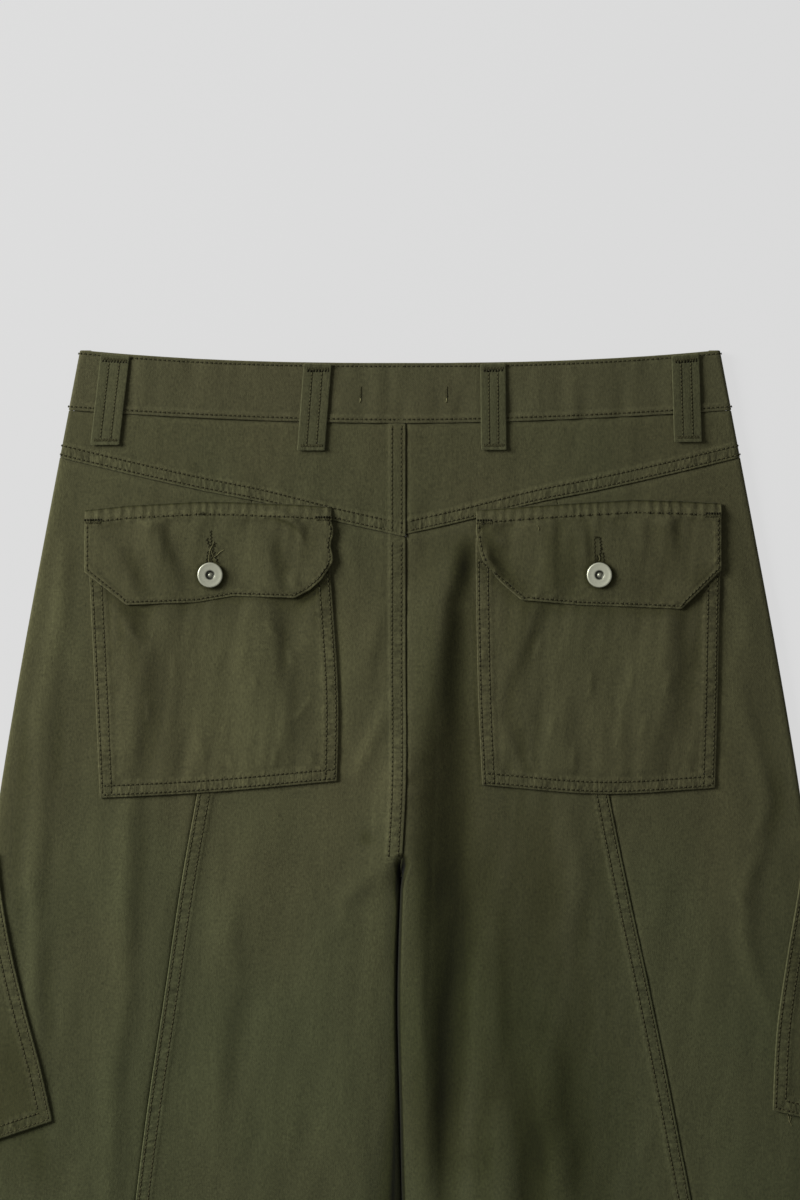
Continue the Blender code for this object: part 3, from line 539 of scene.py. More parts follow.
finishes = {
    "band_cloth": dict(warm=(0.079, 0.0745, 0.035), green=(0.0745, 0.077, 0.036), rough=0.88, mottle=0.13),
    "twill": dict(warm=(0.076, 0.0722, 0.033), green=(0.0705, 0.075, 0.0335), rough=0.90, mottle=0.15),
    "pocket_cloth": dict(warm=(0.0775, 0.0735, 0.0335), green=(0.0735, 0.0745, 0.033), rough=0.89,
                         mottle=0.14),
    "loop_cloth": dict(warm=(0.0735, 0.0725, 0.0335), green=(0.07, 0.0745, 0.034), rough=0.88, mottle=0.11),
}
clothGloss = dict(specular=0.15, sheen=0.07, sheenRoughness=0.5, ladderHeight=2.4, bumpDeep=0.16 * mm)
wornPale = 0.15
# How painted shade also changes the colour: less blue and a little greener where it is darkest.
shadeTint = (0.0, 0.02, -0.30)
# How much darker cloth lying below its surroundings is painted, as the shade in hollows.
hollowShade = 0.13
threadLook = dict(color=(0.058, 0.055, 0.026), twist=1800.0, twistDeep=0.5, roughness=0.9, specular=0.1)
buttonLook = dict(color=(0.86, 0.87, 0.67), metallic=0.75, roughness=0.45)


def feed(tree, node, inputs):
    # Numbers and colours are set on the node's own sockets, and other nodes' outputs are linked to them.
    for label, value in inputs.items():
        if isinstance(value, bpy.types.NodeSocket):
            tree.links.new(value, node.inputs[label])
        else:
            node.inputs[label].default_value = value


def addNode(tree, kind, inputs, **settings):
    # A shader node with its settings and inputs.
    node = tree.nodes.new("ShaderNode" + kind)
    for label, value in settings.items():
        setattr(node, label, value)
    feed(tree, node, inputs)
    return node


def maths(tree, operation, *values):
    # One Math node with numbers or sockets as its inputs.
    return addNode(tree, "Math", dict(enumerate(values)), operation=operation).outputs[0]


def swing(tree, noise, amount, rest=0.0):
    # A noise's distance from its middle, times an amount, added to the rest.
    return maths(tree, "MULTIPLY_ADD", maths(tree, "SUBTRACT", noise, 0.5), amount, rest)


def ramp(tree, value, low, high):
    # Linear share of the way from low to high, clamped.
    return addNode(tree, "MapRange", {"Value": value, "From Min": low, "From Max": high}).outputs[0]


def scaled(tree, color, factor):
    # A colour times a number.
    return addNode(tree, "VectorMath", {0: color, "Scale": factor}, operation="SCALE").outputs[0]


def noiseAt(tree, position, scale, stretch=(1, 1, 1), detail=2.0, roughness=0.5):
    # Noise on a position that is first stretched along each axis.
    mapping = addNode(tree, "Mapping", dict(Vector=position, Scale=stretch))
    inputs = dict(Vector=mapping.outputs[0], Scale=scale, Detail=detail, Roughness=roughness)
    return addNode(tree, "TexNoise", inputs).outputs["Fac"]


def lineNoise(tree, along, aside, detail):
    # Noise on two numbers.
    line = addNode(tree, "CombineXYZ", {0: along, 1: aside})
    inputs = dict(Vector=line.outputs[0], Scale=1.0, Detail=detail)
    return addNode(tree, "TexNoise", inputs, noise_dimensions="2D").outputs["Fac"]


def newGroup(name, vectors, numbers, outputs):
    # A node group with vectors and numbers as its inputs, and numbers as its outputs.
    group = bpy.data.node_groups.new(name, "ShaderNodeTree")
    kinds = ((vectors, "INPUT", "Vector"), (numbers, "INPUT", "Float"), (outputs, "OUTPUT", "Float"))
    for labels, way, kind in kinds:
        for label in labels:
            group.interface.new_socket(label, in_out=way, socket_type="NodeSocket" + kind)
    return group, group.nodes.new("NodeGroupInput").outputs, group.nodes.new("NodeGroupOutput")


# Noises in the weave: (scale, stretch, detail, roughness, amount) of slubs, weft, speckle and streaks.
weaveNoises = [
    (1.0, (1500, 420, 1500), 2.0, 0.6, 1.10), (1.0, (520, 1700, 520), 1.0, 0.5, 0.70),
    (2400.0, (1, 1, 1), 1.0, 0.5, 0.50), (1.0, (620, 38, 620), 2.0, 0.5, 0.20),
]
wales = dict(scale=430.0, distortion=1.6, amount=0.16)


def makeWeaveGroup():
    # Twill: diagonal wales, slubs along the warp, and speckle. Puts out a shade near 1 and a height.
    group, given, made = newGroup("twillWeave", ["Position"], [], ["Shade", "Height"])
    grain = 0.0
    for *noise, amount in weaveNoises:
        grain = swing(group, noiseAt(group, given["Position"], *noise), amount, grain)
    inputs = dict(Vector=given["Position"], Scale=wales["scale"], Distortion=wales["distortion"])
    wale = addNode(group, "TexWave", inputs, wave_type="BANDS", bands_direction="DIAGONAL")
    grain = swing(group, wale.outputs["Fac"], wales["amount"], grain)
    feed(group, made, dict(Shade=maths(group, "ADD", grain, 1.0), Height=grain))
    return group


wash = dict(broad=(17, 8, 17), broadAmount=1.5, small=(110, 60, 110), smallAmount=0.40, darkest=0.02,
            greenFrom=0.24, greenTo=0.08, greenAmount=0.72, patch=(13, 9, 13), patchEnds=(0.36, 0.68),
            patchAmount=0.42, deepEnds=(-0.05, -0.60))


def makeWashGroup():
    # Garment wash and painted shade: soft mottling in two sizes and the piece's own wear with its painted
    # light and shade, and a tint that turns greener down the legs and in patches. Deep is the share by which
    # dark painted shade also changes the colour.
    group, given, made = newGroup("garmentWashAndShade", ["Position"], ["Wear", "Mottle"], ["Shade", "Tint", "Deep"])
    position = given["Position"]
    broad = noiseAt(group, position, 1.0, wash["broad"])
    small = noiseAt(group, position, 1.0, wash["small"], 3.0, 0.6)
    total = swing(group, small, wash["smallAmount"], swing(group, broad, wash["broadAmount"]))
    total = maths(group, "ADD", maths(group, "MULTIPLY", total, given["Mottle"]), given["Wear"])
    shade = maths(group, "MAXIMUM", maths(group, "ADD", total, 1.0), wash["darkest"])
    height = addNode(group, "SeparateXYZ", {0: position}).outputs[1]
    downward = ramp(group, height, wash["greenFrom"], wash["greenTo"])
    patch = ramp(group, noiseAt(group, position, 1.0, wash["patch"], 1.0), *wash["patchEnds"])
    tint = maths(group, "MULTIPLY", patch, wash["patchAmount"])
    tint = maths(group, "MULTIPLY_ADD", downward, wash["greenAmount"], tint)
    deep = ramp(group, given["Wear"], *wash["deepEnds"])
    feed(group, made, dict(Shade=shade, Tint=maths(group, "MINIMUM", tint, 1.0), Deep=deep))
    return group


# The amount is how strongly the puckers' light and shade are painted into the colour.
ladder = dict(along=390.0, aside=130.0, begins=(-0.001, 0.002), ends=(0.0075, 0.0125), amount=0.58,
              strength=1.5)


def makeLadderGroup():
    # Puckers across a double row of stitches: noise along the seam, fading away from it, put out as a height
    # and as painted light and shade across the puckers.
    group, given, made = newGroup("seamLadder", ["Seam"], [], ["Shade", "Height"])
    along, aside, strength = addNode(group, "SeparateXYZ", {0: given["Seam"]}).outputs
    bars = lineNoise(group, maths(group, "MULTIPLY", along, ladder["along"]),
                     maths(group, "MULTIPLY", aside, ladder["aside"]), 1.0)
    near = maths(group, "SUBTRACT", 1.0, ramp(group, aside, *ladder["ends"]))
    mask = maths(group, "MULTIPLY", near, ramp(group, aside, *ladder["begins"]))
    mask = maths(group, "MULTIPLY", mask, strength)
    bar = maths(group, "MULTIPLY", maths(group, "SUBTRACT", bars, 0.5), mask)
    feed(group, made, dict(Shade=maths(group, "MULTIPLY_ADD", bar, ladder["amount"], 1.0), Height=bar))
    return group


# Radii in metres where the dish, its knob and the edge begin and end, and how bright each is: painted shade
# in the dish and round the edge, and a painted highlight on the knob.
brush = dict(rings=9000.0, dents=900.0, dish=(0.0027, 0.0036), dishShade=0.10, knob=(0.0019, 0.0012),
             knobHighlight=0.72, edge=(0.0076, 0.0082), rimShade=0.35)


def makeMetalGroup():
    # Brushed metal: fine rings round the piece's own middle, and small dents, with painted shade in the dish
    # and round the edge and a painted highlight on the knob. Puts out a shade and a height.
    group, given, made = newGroup("brushedMetal", ["Position"], ["Rings"], ["Shade", "Height"])
    rings = given["Rings"]
    fine = lineNoise(group, maths(group, "MULTIPLY", rings, brush["rings"]), 0.0, 2.0)
    dents = noiseAt(group, given["Position"], brush["dents"], (1, 1, 1), 3.0, 0.6)
    mix = swing(group, dents, 0.5, swing(group, fine, 0.5))
    dish = ramp(group, rings, *brush["dish"])
    dish = maths(group, "MULTIPLY_ADD", dish, 1.0 - brush["dishShade"], brush["dishShade"])
    knob = maths(group, "MULTIPLY", ramp(group, rings, *brush["knob"]), brush["knobHighlight"])
    dish = maths(group, "MAXIMUM", dish, knob)
    edge = maths(group, "MULTIPLY_ADD", ramp(group, rings, *brush["edge"]), -brush["rimShade"], 1.0)
    shade = maths(group, "MULTIPLY_ADD", mix, 0.5, 1.0)
    shade = maths(group, "MULTIPLY", shade, maths(group, "MULTIPLY", dish, edge))
    feed(group, made, dict(Shade=shade, Height=mix))
    return group


groups = dict(weave=makeWeaveGroup(), wash=makeWashGroup(), ladder=makeLadderGroup(), metal=makeMetalGroup())


def startMaterial(name):
    # A new material, its nodes, its shader and the object coordinates.
    material = bpy.data.materials.new(name)
    material.use_nodes = True
    tree = material.node_tree
    position = tree.nodes.new("ShaderNodeTexCoord").outputs["Object"]
    return material, tree, tree.nodes["Principled BSDF"], position


def placeGroup(tree, key, **inputs):
    # A node group put into a material, with its inputs.
    node = tree.nodes.new("ShaderNodeGroup")
    node.node_tree = groups[key]
    feed(tree, node, inputs)
    return node.outputs


def attribute(tree, name, output):
    # A value kept at the piece's points.
    return addNode(tree, "Attribute", {}, attribute_name=name).outputs[output]


def bump(tree, height, distance):
    return addNode(tree, "Bump", dict(Height=height, Distance=distance, Strength=1.0)).outputs["Normal"]


def makeCloth(slot):
    # Base colour times weave, wash and ladder, where the wash carries painted light and shade and the ladder
    # paints light and shade across puckers; the weave and the ladder also feed the bump.
    finish = finishes[slot]
    material, tree, shader, position = startMaterial(slot)
    weave = placeGroup(tree, "weave", Position=position)
    wear = attribute(tree, "wear", "Fac")
    washed = placeGroup(tree, "wash", Position=position, Wear=wear, Mottle=finish["mottle"])
    seamed = placeGroup(tree, "ladder", Seam=attribute(tree, "seam", "Vector"))
    colors = {0: washed["Tint"], 6: (*finish["warm"], 1.0), 7: (*finish["green"], 1.0)}
    color = addNode(tree, "Mix", colors, data_type="RGBA").outputs[2]
    shade = maths(tree, "MULTIPLY", maths(tree, "MULTIPLY", weave["Shade"], washed["Shade"]), seamed["Shade"])
    deep = {0: washed["Deep"], 1: shadeTint, 2: (1.0, 1.0, 1.0)}
    deep = addNode(tree, "VectorMath", deep, operation="MULTIPLY_ADD")
    rich = addNode(tree, "VectorMath", {0: color, 1: deep.outputs[0]}, operation="MULTIPLY")
    height = maths(tree, "MULTIPLY_ADD", seamed["Height"], clothGloss["ladderHeight"], weave["Height"])
    feed(tree, shader, {
        "Base Color": scaled(tree, rich.outputs[0], shade),
        "Normal": bump(tree, height, clothGloss["bumpDeep"]),
        "Roughness": finish["rough"],
        "Specular IOR Level": clothGloss["specular"],
        "Sheen Weight": clothGloss["sheen"],
        "Sheen Roughness": clothGloss["sheenRoughness"],
    })
    return material


def makeThread():
    # Thread: its colour times its own tone and painted shade, which is dark where a stitch enters the cloth.
    material, tree, shader, position = startMaterial("thread")
    twist = noiseAt(tree, position, threadLook["twist"], (1, 1, 1), 1.0, 0.5)
    deep = threadLook["twistDeep"]
    shade = maths(tree, "MULTIPLY_ADD", twist, deep, 1.0 - deep / 2)
    shade = maths(tree, "MULTIPLY", attribute(tree, "wear", "Fac"), shade)
    feed(tree, shader, {
        "Base Color": scaled(tree, threadLook["color"], shade),
        "Normal": bump(tree, twist, 0.08 * mm),
        "Roughness": threadLook["roughness"],
        "Specular IOR Level": threadLook["specular"],
    })
    return material


def makeMetal():
    # The button's colour times the brushed group's shade with its painted shade and highlight, and its height
    # as a bump.
    material, tree, shader, position = startMaterial("button_metal")
    metal = placeGroup(tree, "metal", Rings=attribute(tree, "rings", "Fac"), Position=position)
    feed(tree, shader, {
        "Base Color": scaled(tree, buttonLook["color"], metal["Shade"]),
        "Normal": bump(tree, metal["Height"], 0.03 * mm),
        "Metallic": buttonLook["metallic"],
        "Roughness": buttonLook["roughness"],
    })
    return material


materials = {slot: makeCloth(slot) for slot in finishes}
materials["button_metal"] = makeMetal()
materials["thread"] = makeThread()
print("finishes made:", len(materials))


sewing = dict(pitch=3.05 * mm, stitchLong=2.35 * mm, thread=0.38 * mm, sides=5, sink=0.30 * mm,
              holeWide=0.82 * mm, holeSides=6, above=0.12 * mm, lean=0.30, groove=0.9 * mm,
              looseThread=0.20 * mm, looseSides=6)


def closedTube(first, count, sides):
    # Quads from ring to ring of a tube, and triangles from either end to a pole; the poles follow the rings.
    grid = first + np.arange(count * sides).reshape(count, sides)
    ahead = np.roll(grid, -1, axis=1)
    quads = np.stack([grid[:-1], ahead[:-1], ahead[1:], grid[1:]], axis=-1).reshape(-1, 4)
    pole = np.full(sides, first + count * sides)
    starts = np.stack([pole, ahead[0], grid[0]], axis=-1)
    return quads, np.concatenate([starts, np.stack([pole + 1, grid[-1], ahead[-1]], axis=-1)])


def stitchForm():
    # A stitch along X: round rings that sink at both ends, and at one end a low lens painted dark as the
    # shade in the needle's hole. The last value of each point is its shade: a painted highlight along the
    # middle, painted shade at the sunk ends and in the hole.
    n, m, half, sink = sewing["sides"], sewing["holeSides"], sewing["stitchLong"] / 2, sewing["sink"]
    share = np.array([-0.72, 0.0, 0.72])
    turn = np.linspace(0.0, 2 * math.pi, n, endpoint=False)
    radius = np.array([0.80, 1.0, 0.80]) * sewing["thread"]
    x = np.repeat(share * sewing["stitchLong"] / 2, n)
    y = (radius[:, None] * np.cos(turn)).ravel() * 1.25
    z = (radius[:, None] * np.sin(turn) - sink * share[:, None] ** 2).ravel()
    tips = np.array([[-half, 0.0, -sink], [half, 0.0, -sink]])

    turn = np.linspace(0.0, 2 * math.pi, m, endpoint=False)
    middle = sewing["pitch"] / 2
    ring = np.stack([middle + sewing["holeWide"] * np.cos(turn), sewing["holeWide"] * np.sin(turn),
                     np.full(m, -0.10 * mm)], axis=-1)
    poles = np.array([[middle, 0.0, 0.10 * mm], [middle, 0.0, -0.40 * mm]])
    quads, caps = closedTube(0, 3, n)
    caps = np.concatenate([caps, closedTube(3 * n + 2, 1, m)[1][:, ::-1]])
    verts = np.concatenate([np.stack([x, y, z], axis=-1), tips, ring, poles])
    # Painted highlight on the middle rings, painted shade at the tips and on the hole's lens.
    shade = np.repeat([1.20, 1.45, 1.20, 0.55, 0.74, 0.15], [n, n, n, 2, m, 2])
    return verts, quads, caps, shade


def surfaceFrame(sign, around, depth, outOf):
    # Points on the cloth and their outward normals, from small steps in both directions.
    step = 0.25 * mm
    here = skin(sign, around, depth, outOf(around, depth))
    aside = skin(sign, around + step, depth, outOf(around + step, depth)) - here
    down = skin(sign, around, depth + step, outOf(around, depth + step)) - here
    return here, unit(np.cross(down, aside) * sign)


def distances(points):
    # The way run from the first point to each point.
    return np.concatenate([[0.0], np.cumsum(np.linalg.norm(np.diff(points, axis=0), axis=1))])


def stitchesAt(at, points, normals, reach, long=1.0):
    # Centres, directions and normals at distances along a line, and each stitch's length and shade.
    run = distances(points)

    def read(values, at):
        return np.stack([np.interp(at, run, values[:, k]) for k in range(3)], axis=-1)

    ways = unit(read(points, at + reach) - read(points, at - reach))
    return read(points, at), ways, read(normals, at), np.full(len(at), long), np.ones(len(at))


def rowOfStitches(sign, around, depth, outOf, pitch=sewing["pitch"]):
    # Places along a line on the cloth, one pitch apart.
    points, normals = surfaceFrame(sign, around, depth, outOf)
    at = np.arange(pitch * 0.6, distances(points)[-1] - pitch * 0.4, pitch)
    return stitchesAt(at, points, normals, pitch / 3)


def rowDown(sign, outOf, line, offset, start, end, count):
    # A row of stitches down the cloth, beside a line of around by depth.
    depth = np.linspace(start, end, count)
    return rowOfStitches(sign, line(depth) + offset, depth, outOf)


def rowAcross(sign, outOf, line, offset, start, end, count):
    # A row of stitches across the cloth, above or below a line of depth by around.
    around = np.linspace(start, end, count)
    return rowOfStitches(sign, around, line(around) + offset, outOf)


def sewOn(name, rows, slot):
    # All stitches of a piece in one mesh: the stitch form carried to each place, turned along its row.
    verts, quads, caps, shade = stitchForm()
    centres, ways, ups, lengths, tones = (np.concatenate([row[k] for row in rows]) for k in range(5))
    across = unit(np.cross(ups, ways))
    ups = np.cross(ways, across)
    points = centres[:, None] + ways[:, None] * (verts[:, 0, None] * lengths[:, None, None])
    points += across[:, None] * verts[:, 1, None]
    points += ups[:, None] * (verts[:, 2, None] + sewing["above"])
    offsets = np.arange(len(centres))[:, None, None] * len(verts)
    faces = (quads[None] + offsets).reshape(-1, 4).tolist() + (caps[None] + offsets).reshape(-1, 3).tolist()
    return newPiece(name, points.reshape(-1, 3), faces, slot, "thread", wear=np.outer(tones, shade).ravel())


def leaning(count, way):
    # Directions of a tack's stitches, across its length and leaning to alternate sides.
    lean = sewing["lean"] * (-1.0) ** np.arange(count)
    return np.stack([lean, np.full(count, way), np.zeros(count)], axis=-1) / np.hypot(1.0, sewing["lean"])


def barTack(sign, around, depth, outOf, long, tall, gap=0.85 * mm, tone=0.78):
    # A bar of close stitches.
    at = np.arange(-long / 2, long / 2 + gap / 2, gap)
    points, ups = surfaceFrame(sign, around + at, np.full(len(at), depth), outOf)
    lengths = np.full(len(at), tall / sewing["stitchLong"])
    return points, leaning(len(at), 1.0), ups, lengths, np.full(len(at), tone)


def threadAlong(name, sign, lines, outOf, slot):
    # Loose and zigzag threads: a thin tube along each line of (x, depth, height above the cloth, shade),
    # closed by a point at either end.
    verts, faces, shades = [], [], []
    radius, count = sewing["looseThread"], sewing["looseSides"]
    turn = np.linspace(0.0, 2 * math.pi, count, endpoint=False)
    start = 0
    for line in lines:
        table = np.array(line) * (mm, mm, mm, 1.0)
        at = np.linspace(0, len(table) - 1, 4 * len(table) - 3)
        x, depth, above, shade = (np.interp(at, np.arange(len(table)), part) for part in table.T)
        around = sign * x
        points = skin(sign, around, depth, outOf(around, depth) + above)
        way = unit(np.gradient(points, axis=0))
        across = unit(np.cross(np.array([0.0, 0.0, 1.0]), way))
        up = np.cross(way, across)
        rings = np.cos(turn)[:, None] * across[:, None] + np.sin(turn)[:, None] * up[:, None]
        rings = points[:, None] + radius * rings
        for part in closedTube(start, len(at), count):
            faces += part.tolist()
        verts += [rings.reshape(-1, 3), points[[0, -1]]]
        shades += [np.repeat(shade, count), shade[[0, -1]]]
        start += len(at) * count + 2
    return newPiece(name, np.concatenate(verts), faces, slot, "thread", wear=np.concatenate(shades))


def zigzag(x0, depth0, x1, depth1, wide, steps, above, shade):
    # A line that swings from side to side of the way from one place to another.
    share = np.linspace(0.0, 1.0, steps)
    swing = wide / 2 * (-1.0) ** np.arange(steps)
    long = math.hypot(x1 - x0, depth1 - depth0)
    x = x0 + share * (x1 - x0) + swing * (depth1 - depth0) / long
    depth = depth0 + share * (depth1 - depth0) - swing * (x1 - x0) / long
    return np.stack([x, depth, np.full(steps, above), np.full(steps, shade)], axis=-1).tolist()


def grooved(rise, asides, rows, groove):
    # Each row of stitches pulls a groove along its edge.
    for aside in asides:
        for row in rows:
            rise -= groove * bell(aside - row, sewing["groove"])
    return rise


def felledSeam(aside, rows, wide, thick):
    # The folded allowance stands up by its thickness as far as its width, less the rows' grooves, and a low
    # lip runs along the fold.
    rise = grooved(thick * (1.0 - smoothStep(aside, wide, wide + 2.4 * mm)), [aside], rows, 0.14 * mm)
    return rise + 0.12 * mm * bell(aside - 0.6 * mm, 0.6 * mm)


def hemmedEdges(asides, rows, wide, thick):
    # Turned-in edges that meet at corners: the thickest allowance shows, and every side has its grooves.
    nearest = np.minimum.reduce(asides)
    rise = grooved(thick * (1.0 - smoothStep(nearest, wide, wide + 2.4 * mm)), asides, rows, 0.13 * mm)
    return rise + 0.14 * mm * bell(nearest - 0.6 * mm, 0.6 * mm)


def ladderAt(asides, alongs, strength=1.0):
    # Along, aside and strength of the nearest edge's ladder, which fades where two edges meet.
    nearest = np.argsort(np.stack(asides), axis=0)
    ordered = np.take_along_axis(np.stack(asides), nearest, axis=0)
    along = np.take_along_axis(np.stack(alongs), nearest, axis=0)[0]
    apart = smoothStep(ordered[1] - ordered[0], 0.0, 4 * mm)
    return np.stack([along, ordered[0], ladder["strength"] * strength * apart], axis=-1)


def tucked(aside, reach=2.6, deep=0.5):
    # Cloth that dips under its neighbour's fold, in millimetres.
    return -deep * mm * (1.0 - smoothStep(aside, -0.5 * mm, reach * mm))


def puckers(along, aside, pitch, reach, rise, seed):
    # Small folds across a seam: noise along it, fading with the distance from it. Sizes are in millimetres.
    noise = latticeNoise(along / (pitch * mm), np.abs(aside) / (reach * mm * 1.2) + 5.0, seed)
    return rise * mm * noise * bell(aside, reach * mm)


def standing(points, drop=0.22 * mm, rounds=8):
    # Cloth that stands above its surroundings wears paler, and cloth below them is painted darker as the
    # shade in its hollows.
    share = np.clip((points[..., 2] - blurred(points[..., 2], rounds)) / drop, -1.0, 1.0)
    return np.where(share > 0.0, wornPale, hollowShade) * share


def clothPiece(node, sign, around, depth, outOf, thickness, slot, seamOf=None, toneOf=None, **shell):
    # One piece of cloth on its node's form, with its wear, its own tones of painted light and shade, and its
    # seams.
    points = skin(sign, around, depth, outOf(around, depth))
    wear = standing(points) * (around < foldStart(depth) - 2 * mm)
    if toneOf is not None:
        wear = wear + toneOf(around, depth)
    seam = noSeam(around.shape) if seamOf is None else seamOf(around, depth)
    piece = clothShell(node + "_cloth", points, thickness, sign, wear, seam, slot, **shell)
    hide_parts(node)
    return piece


# Lengths that begin with "row" are the distances of rows of stitches from the band's edges.
band = dict(backDip=0.00845, seamDip=0.0086, frontDip=0.022, backHalf=0.208, seamHalf=0.2156, frontHalf=0.205,
            rowTop=2.2 * mm, rowFoot=2.4 * mm, rowTopEnd=0.2110, rowFootEnd=0.2160, lipRise=0.5 * mm,
            turnsUnder=0.218, columns=[138, foldSteps, 44], rows=36, flat=(0.862, 0.0475), area=0.0385)
# Tacks at the middle loops: (x, slant) in millimetres.
bandTacks = dict(places=((-25.4, 0.4), (30.6, -0.3)), ends=(0.0235, 0.0345), pitch=1.9 * mm, shade=0.7,
                 knot=3.2)


def backWaist(around):
    # The back waist dips at the middle, less the 2.5th power of the share outwards.
    return band["backDip"] * (1.0 - np.clip(around / band["backHalf"], 0.0, 1.0) ** 2.5)


def backBandSeam(around):
    # The band's seam dips the same way, with a power of 1.8.
    return bandHeight + band["seamDip"] * (1.0 - np.clip(around / band["seamHalf"], 0.0, 1.0) ** 1.8)


def frontAcross(around, depth):
    # The distance from the middle of the front, for a place on the underside.
    return foldStart(depth) - (around - underEdge(depth))


def frontWaist(across):
    # The front waist dips deeper, with a power of 2.2.
    return band["frontDip"] * (1.0 - np.clip(across / band["frontHalf"], 0.0, 1.0) ** 2.2)


def frontBandSeam(across):
    # One band's height below the front waist.
    return bandHeight + frontWaist(across)


def onTop(around, depth):
    # 1 on the upper side, fading to 0 over the outer fold.
    return 1.0 - smoothStep(around - foldStart(depth), -2.0 * mm, 3.0 * mm)


def bandEdges(around):
    # The band's upper and lower edge, behind as far as the fold and then in front.
    behind = around <= band["turnsUnder"]
    top = np.where(behind, backWaist(around), frontWaist(frontAcross(around, 0.0)))
    foot = np.where(behind, backBandSeam(around), frontBandSeam(frontAcross(around, bandHeight)))
    return top, foot


def bandOut(sign):
    # A lip over the seam, grooves along both rows, puckers beside them, and two sizes of noise.
    def outOf(around, depth):
        top, foot = bandEdges(around)
        fromTop, fromFoot = depth - top, foot - depth
        x = sign * around
        rise = band["lipRise"] * (1.0 - smoothStep(fromFoot, 4.0 * mm, 6.5 * mm))
        rise -= 0.20 * mm * bell(fromFoot - band["rowFoot"], sewing["groove"])
        rise -= 0.22 * mm * bell(fromTop - band["rowTop"], sewing["groove"])
        rise += puckers(x, fromFoot - 3 * mm, 6.0, 7, 0.14, 31)
        rise += puckers(x + 0.004, fromTop - 3 * mm, 7.0, 8, 0.12, 32)
        rise += 0.42 * mm * latticeNoise(x / (8 * mm), depth / (44 * mm) + 2.0, 33)
        rise += 0.30 * mm * latticeNoise(x / (26 * mm), depth / (70 * mm) + 2.0, 34)
        proud = bandProud * (1.0 - np.clip((around - foldStart(depth)) / foldArc, 0.0, 1.0))
        return proud + rise * onTop(around, depth)
    return outOf


def bandHalf(sign):
    # One half's grid, from the middle of the back round the fold to the middle of the front.
    def upper(around):
        return bandEdges(around)[0] + bandWall / 2

    def lower(around):
        return bandEdges(around)[1] - seamGap / 2 - bandWall / 2

    stops = [lambda d: 0.0 * d, foldStart, underEdge, lambda d: underEdge(d) + foldStart(d) - 1.0 * mm]
    around, depth = spread(even(band["rows"]), stopPlaces(band["columns"]), stops, upper, lower)
    return around, depth, skin(sign, around, depth, bandOut(sign)(around, depth))


def makeWaistband():
    # Both halves side by side, from the middle of the front round the back to the middle of the front.
    left, right = [bandHalf(sign) for sign in (-1, 1)]
    points = np.concatenate([left[2][:, :0:-1], right[2]], axis=1)
    around = np.concatenate([left[0][:, :0:-1], right[0]], axis=1)
    wear = standing(points) * (around < band["frontHalf"])
    piece = clothShell("waistband_cloth", points, bandWall, 1, wear, noSeam(wear.shape), "band_cloth")
    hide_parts("waistband")
    rows = []
    for sign in (-1, 1):
        out = bandOut(sign)
        rows.append(rowAcross(sign, out, backWaist, band["rowTop"], 0.0, band["rowTopEnd"], 400))
        rows.append(rowAcross(sign, out, backBandSeam, -band["rowFoot"], 0.0, band["rowFootEnd"], 400))
    depth = np.linspace(*bandTacks["ends"], 30)
    for x, turn in bandTacks["places"]:
        sign = -1 if x < 0 else 1
        around = np.full(30, abs(x) * mm) + turn * mm * np.linspace(0, 1, 30)
        *tack, tones = rowOfStitches(sign, around, depth, bandOut(sign), bandTacks["pitch"])
        tones = tones * bandTacks["shade"]
        tones[-1] = bandTacks["knot"]
        rows.append((*tack, tones))
    stitches = sewOn("waistband_stitches", rows, "band_cloth")


# "Slope" turns a distance down the cloth into one square to the sloping seam.
yoke = dict(rows=(1.8 * mm, 7.8 * mm), rowStart=dict(left=0.006, right=0.0055), rowEnd=0.2235, slope=0.975,
            wide=9.0 * mm, thick=0.55 * mm, pale=0.05, paleEnds=(9.0 * mm, 12.0 * mm),
            columns=[12, 128, foldSteps, 2], flat=(0.224, 0.084), area=0.0117)
seat = dict(rows=(2.7 * mm, 8.8 * mm), wide=9.8 * mm, thick=0.7 * mm, ends=(0.322, 0.340),
            onYoke=(0.0482, 0.1185), onLeg=(0.1240, 0.3300))


def seatSeam(sign, around, depth):
    # The left side laps over the right at the middle; both end at the crotch.
    aside = around - innerEdge(sign, depth)
    going = 1.0 - smoothStep(depth, *seat["ends"])
    if sign < 0:
        return going * (felledSeam(aside, seat["rows"], seat["wide"], seat["thick"])
                        + puckers(depth, aside - 6 * mm, 6.5, 9, 0.16, 41))
    return going * (tucked(aside, 3.0) + puckers(depth, aside, 8, 14, 0.18, 42))


def seatStitches(sign, outOf, start, end, count):
    # The seat seam's two rows, on its left side.
    rows = seat["rows"] if sign < 0 else ()
    return [rowDown(sign, outOf, lambda d: innerEdge(sign, d), row, start, end, count) for row in rows]


def aboveYokeSeam(around, depth):
    # The distance up from the yoke's seam, square to it.
    return (yokeDepth(around) - depth) * yoke["slope"]


def yokeOut(sign):
    # The felled seam at the foot, puckers above it, a tuck under the band, and the seat seam.
    def outOf(around, depth):
        x = sign * around
        foot = aboveYokeSeam(around, depth)
        rise = felledSeam(foot, yoke["rows"], yoke["wide"], yoke["thick"])
        rise += puckers(x, foot - 5 * mm, 5.5, 8, 0.20, 43)
        rise += puckers(x, foot - 12 * mm, 10, 12, 0.24, 44)
        rise += tucked(depth - backBandSeam(around), 3, 0.45)
        return (rise + seatSeam(sign, around, depth)) * onTop(around, depth)
    return outOf


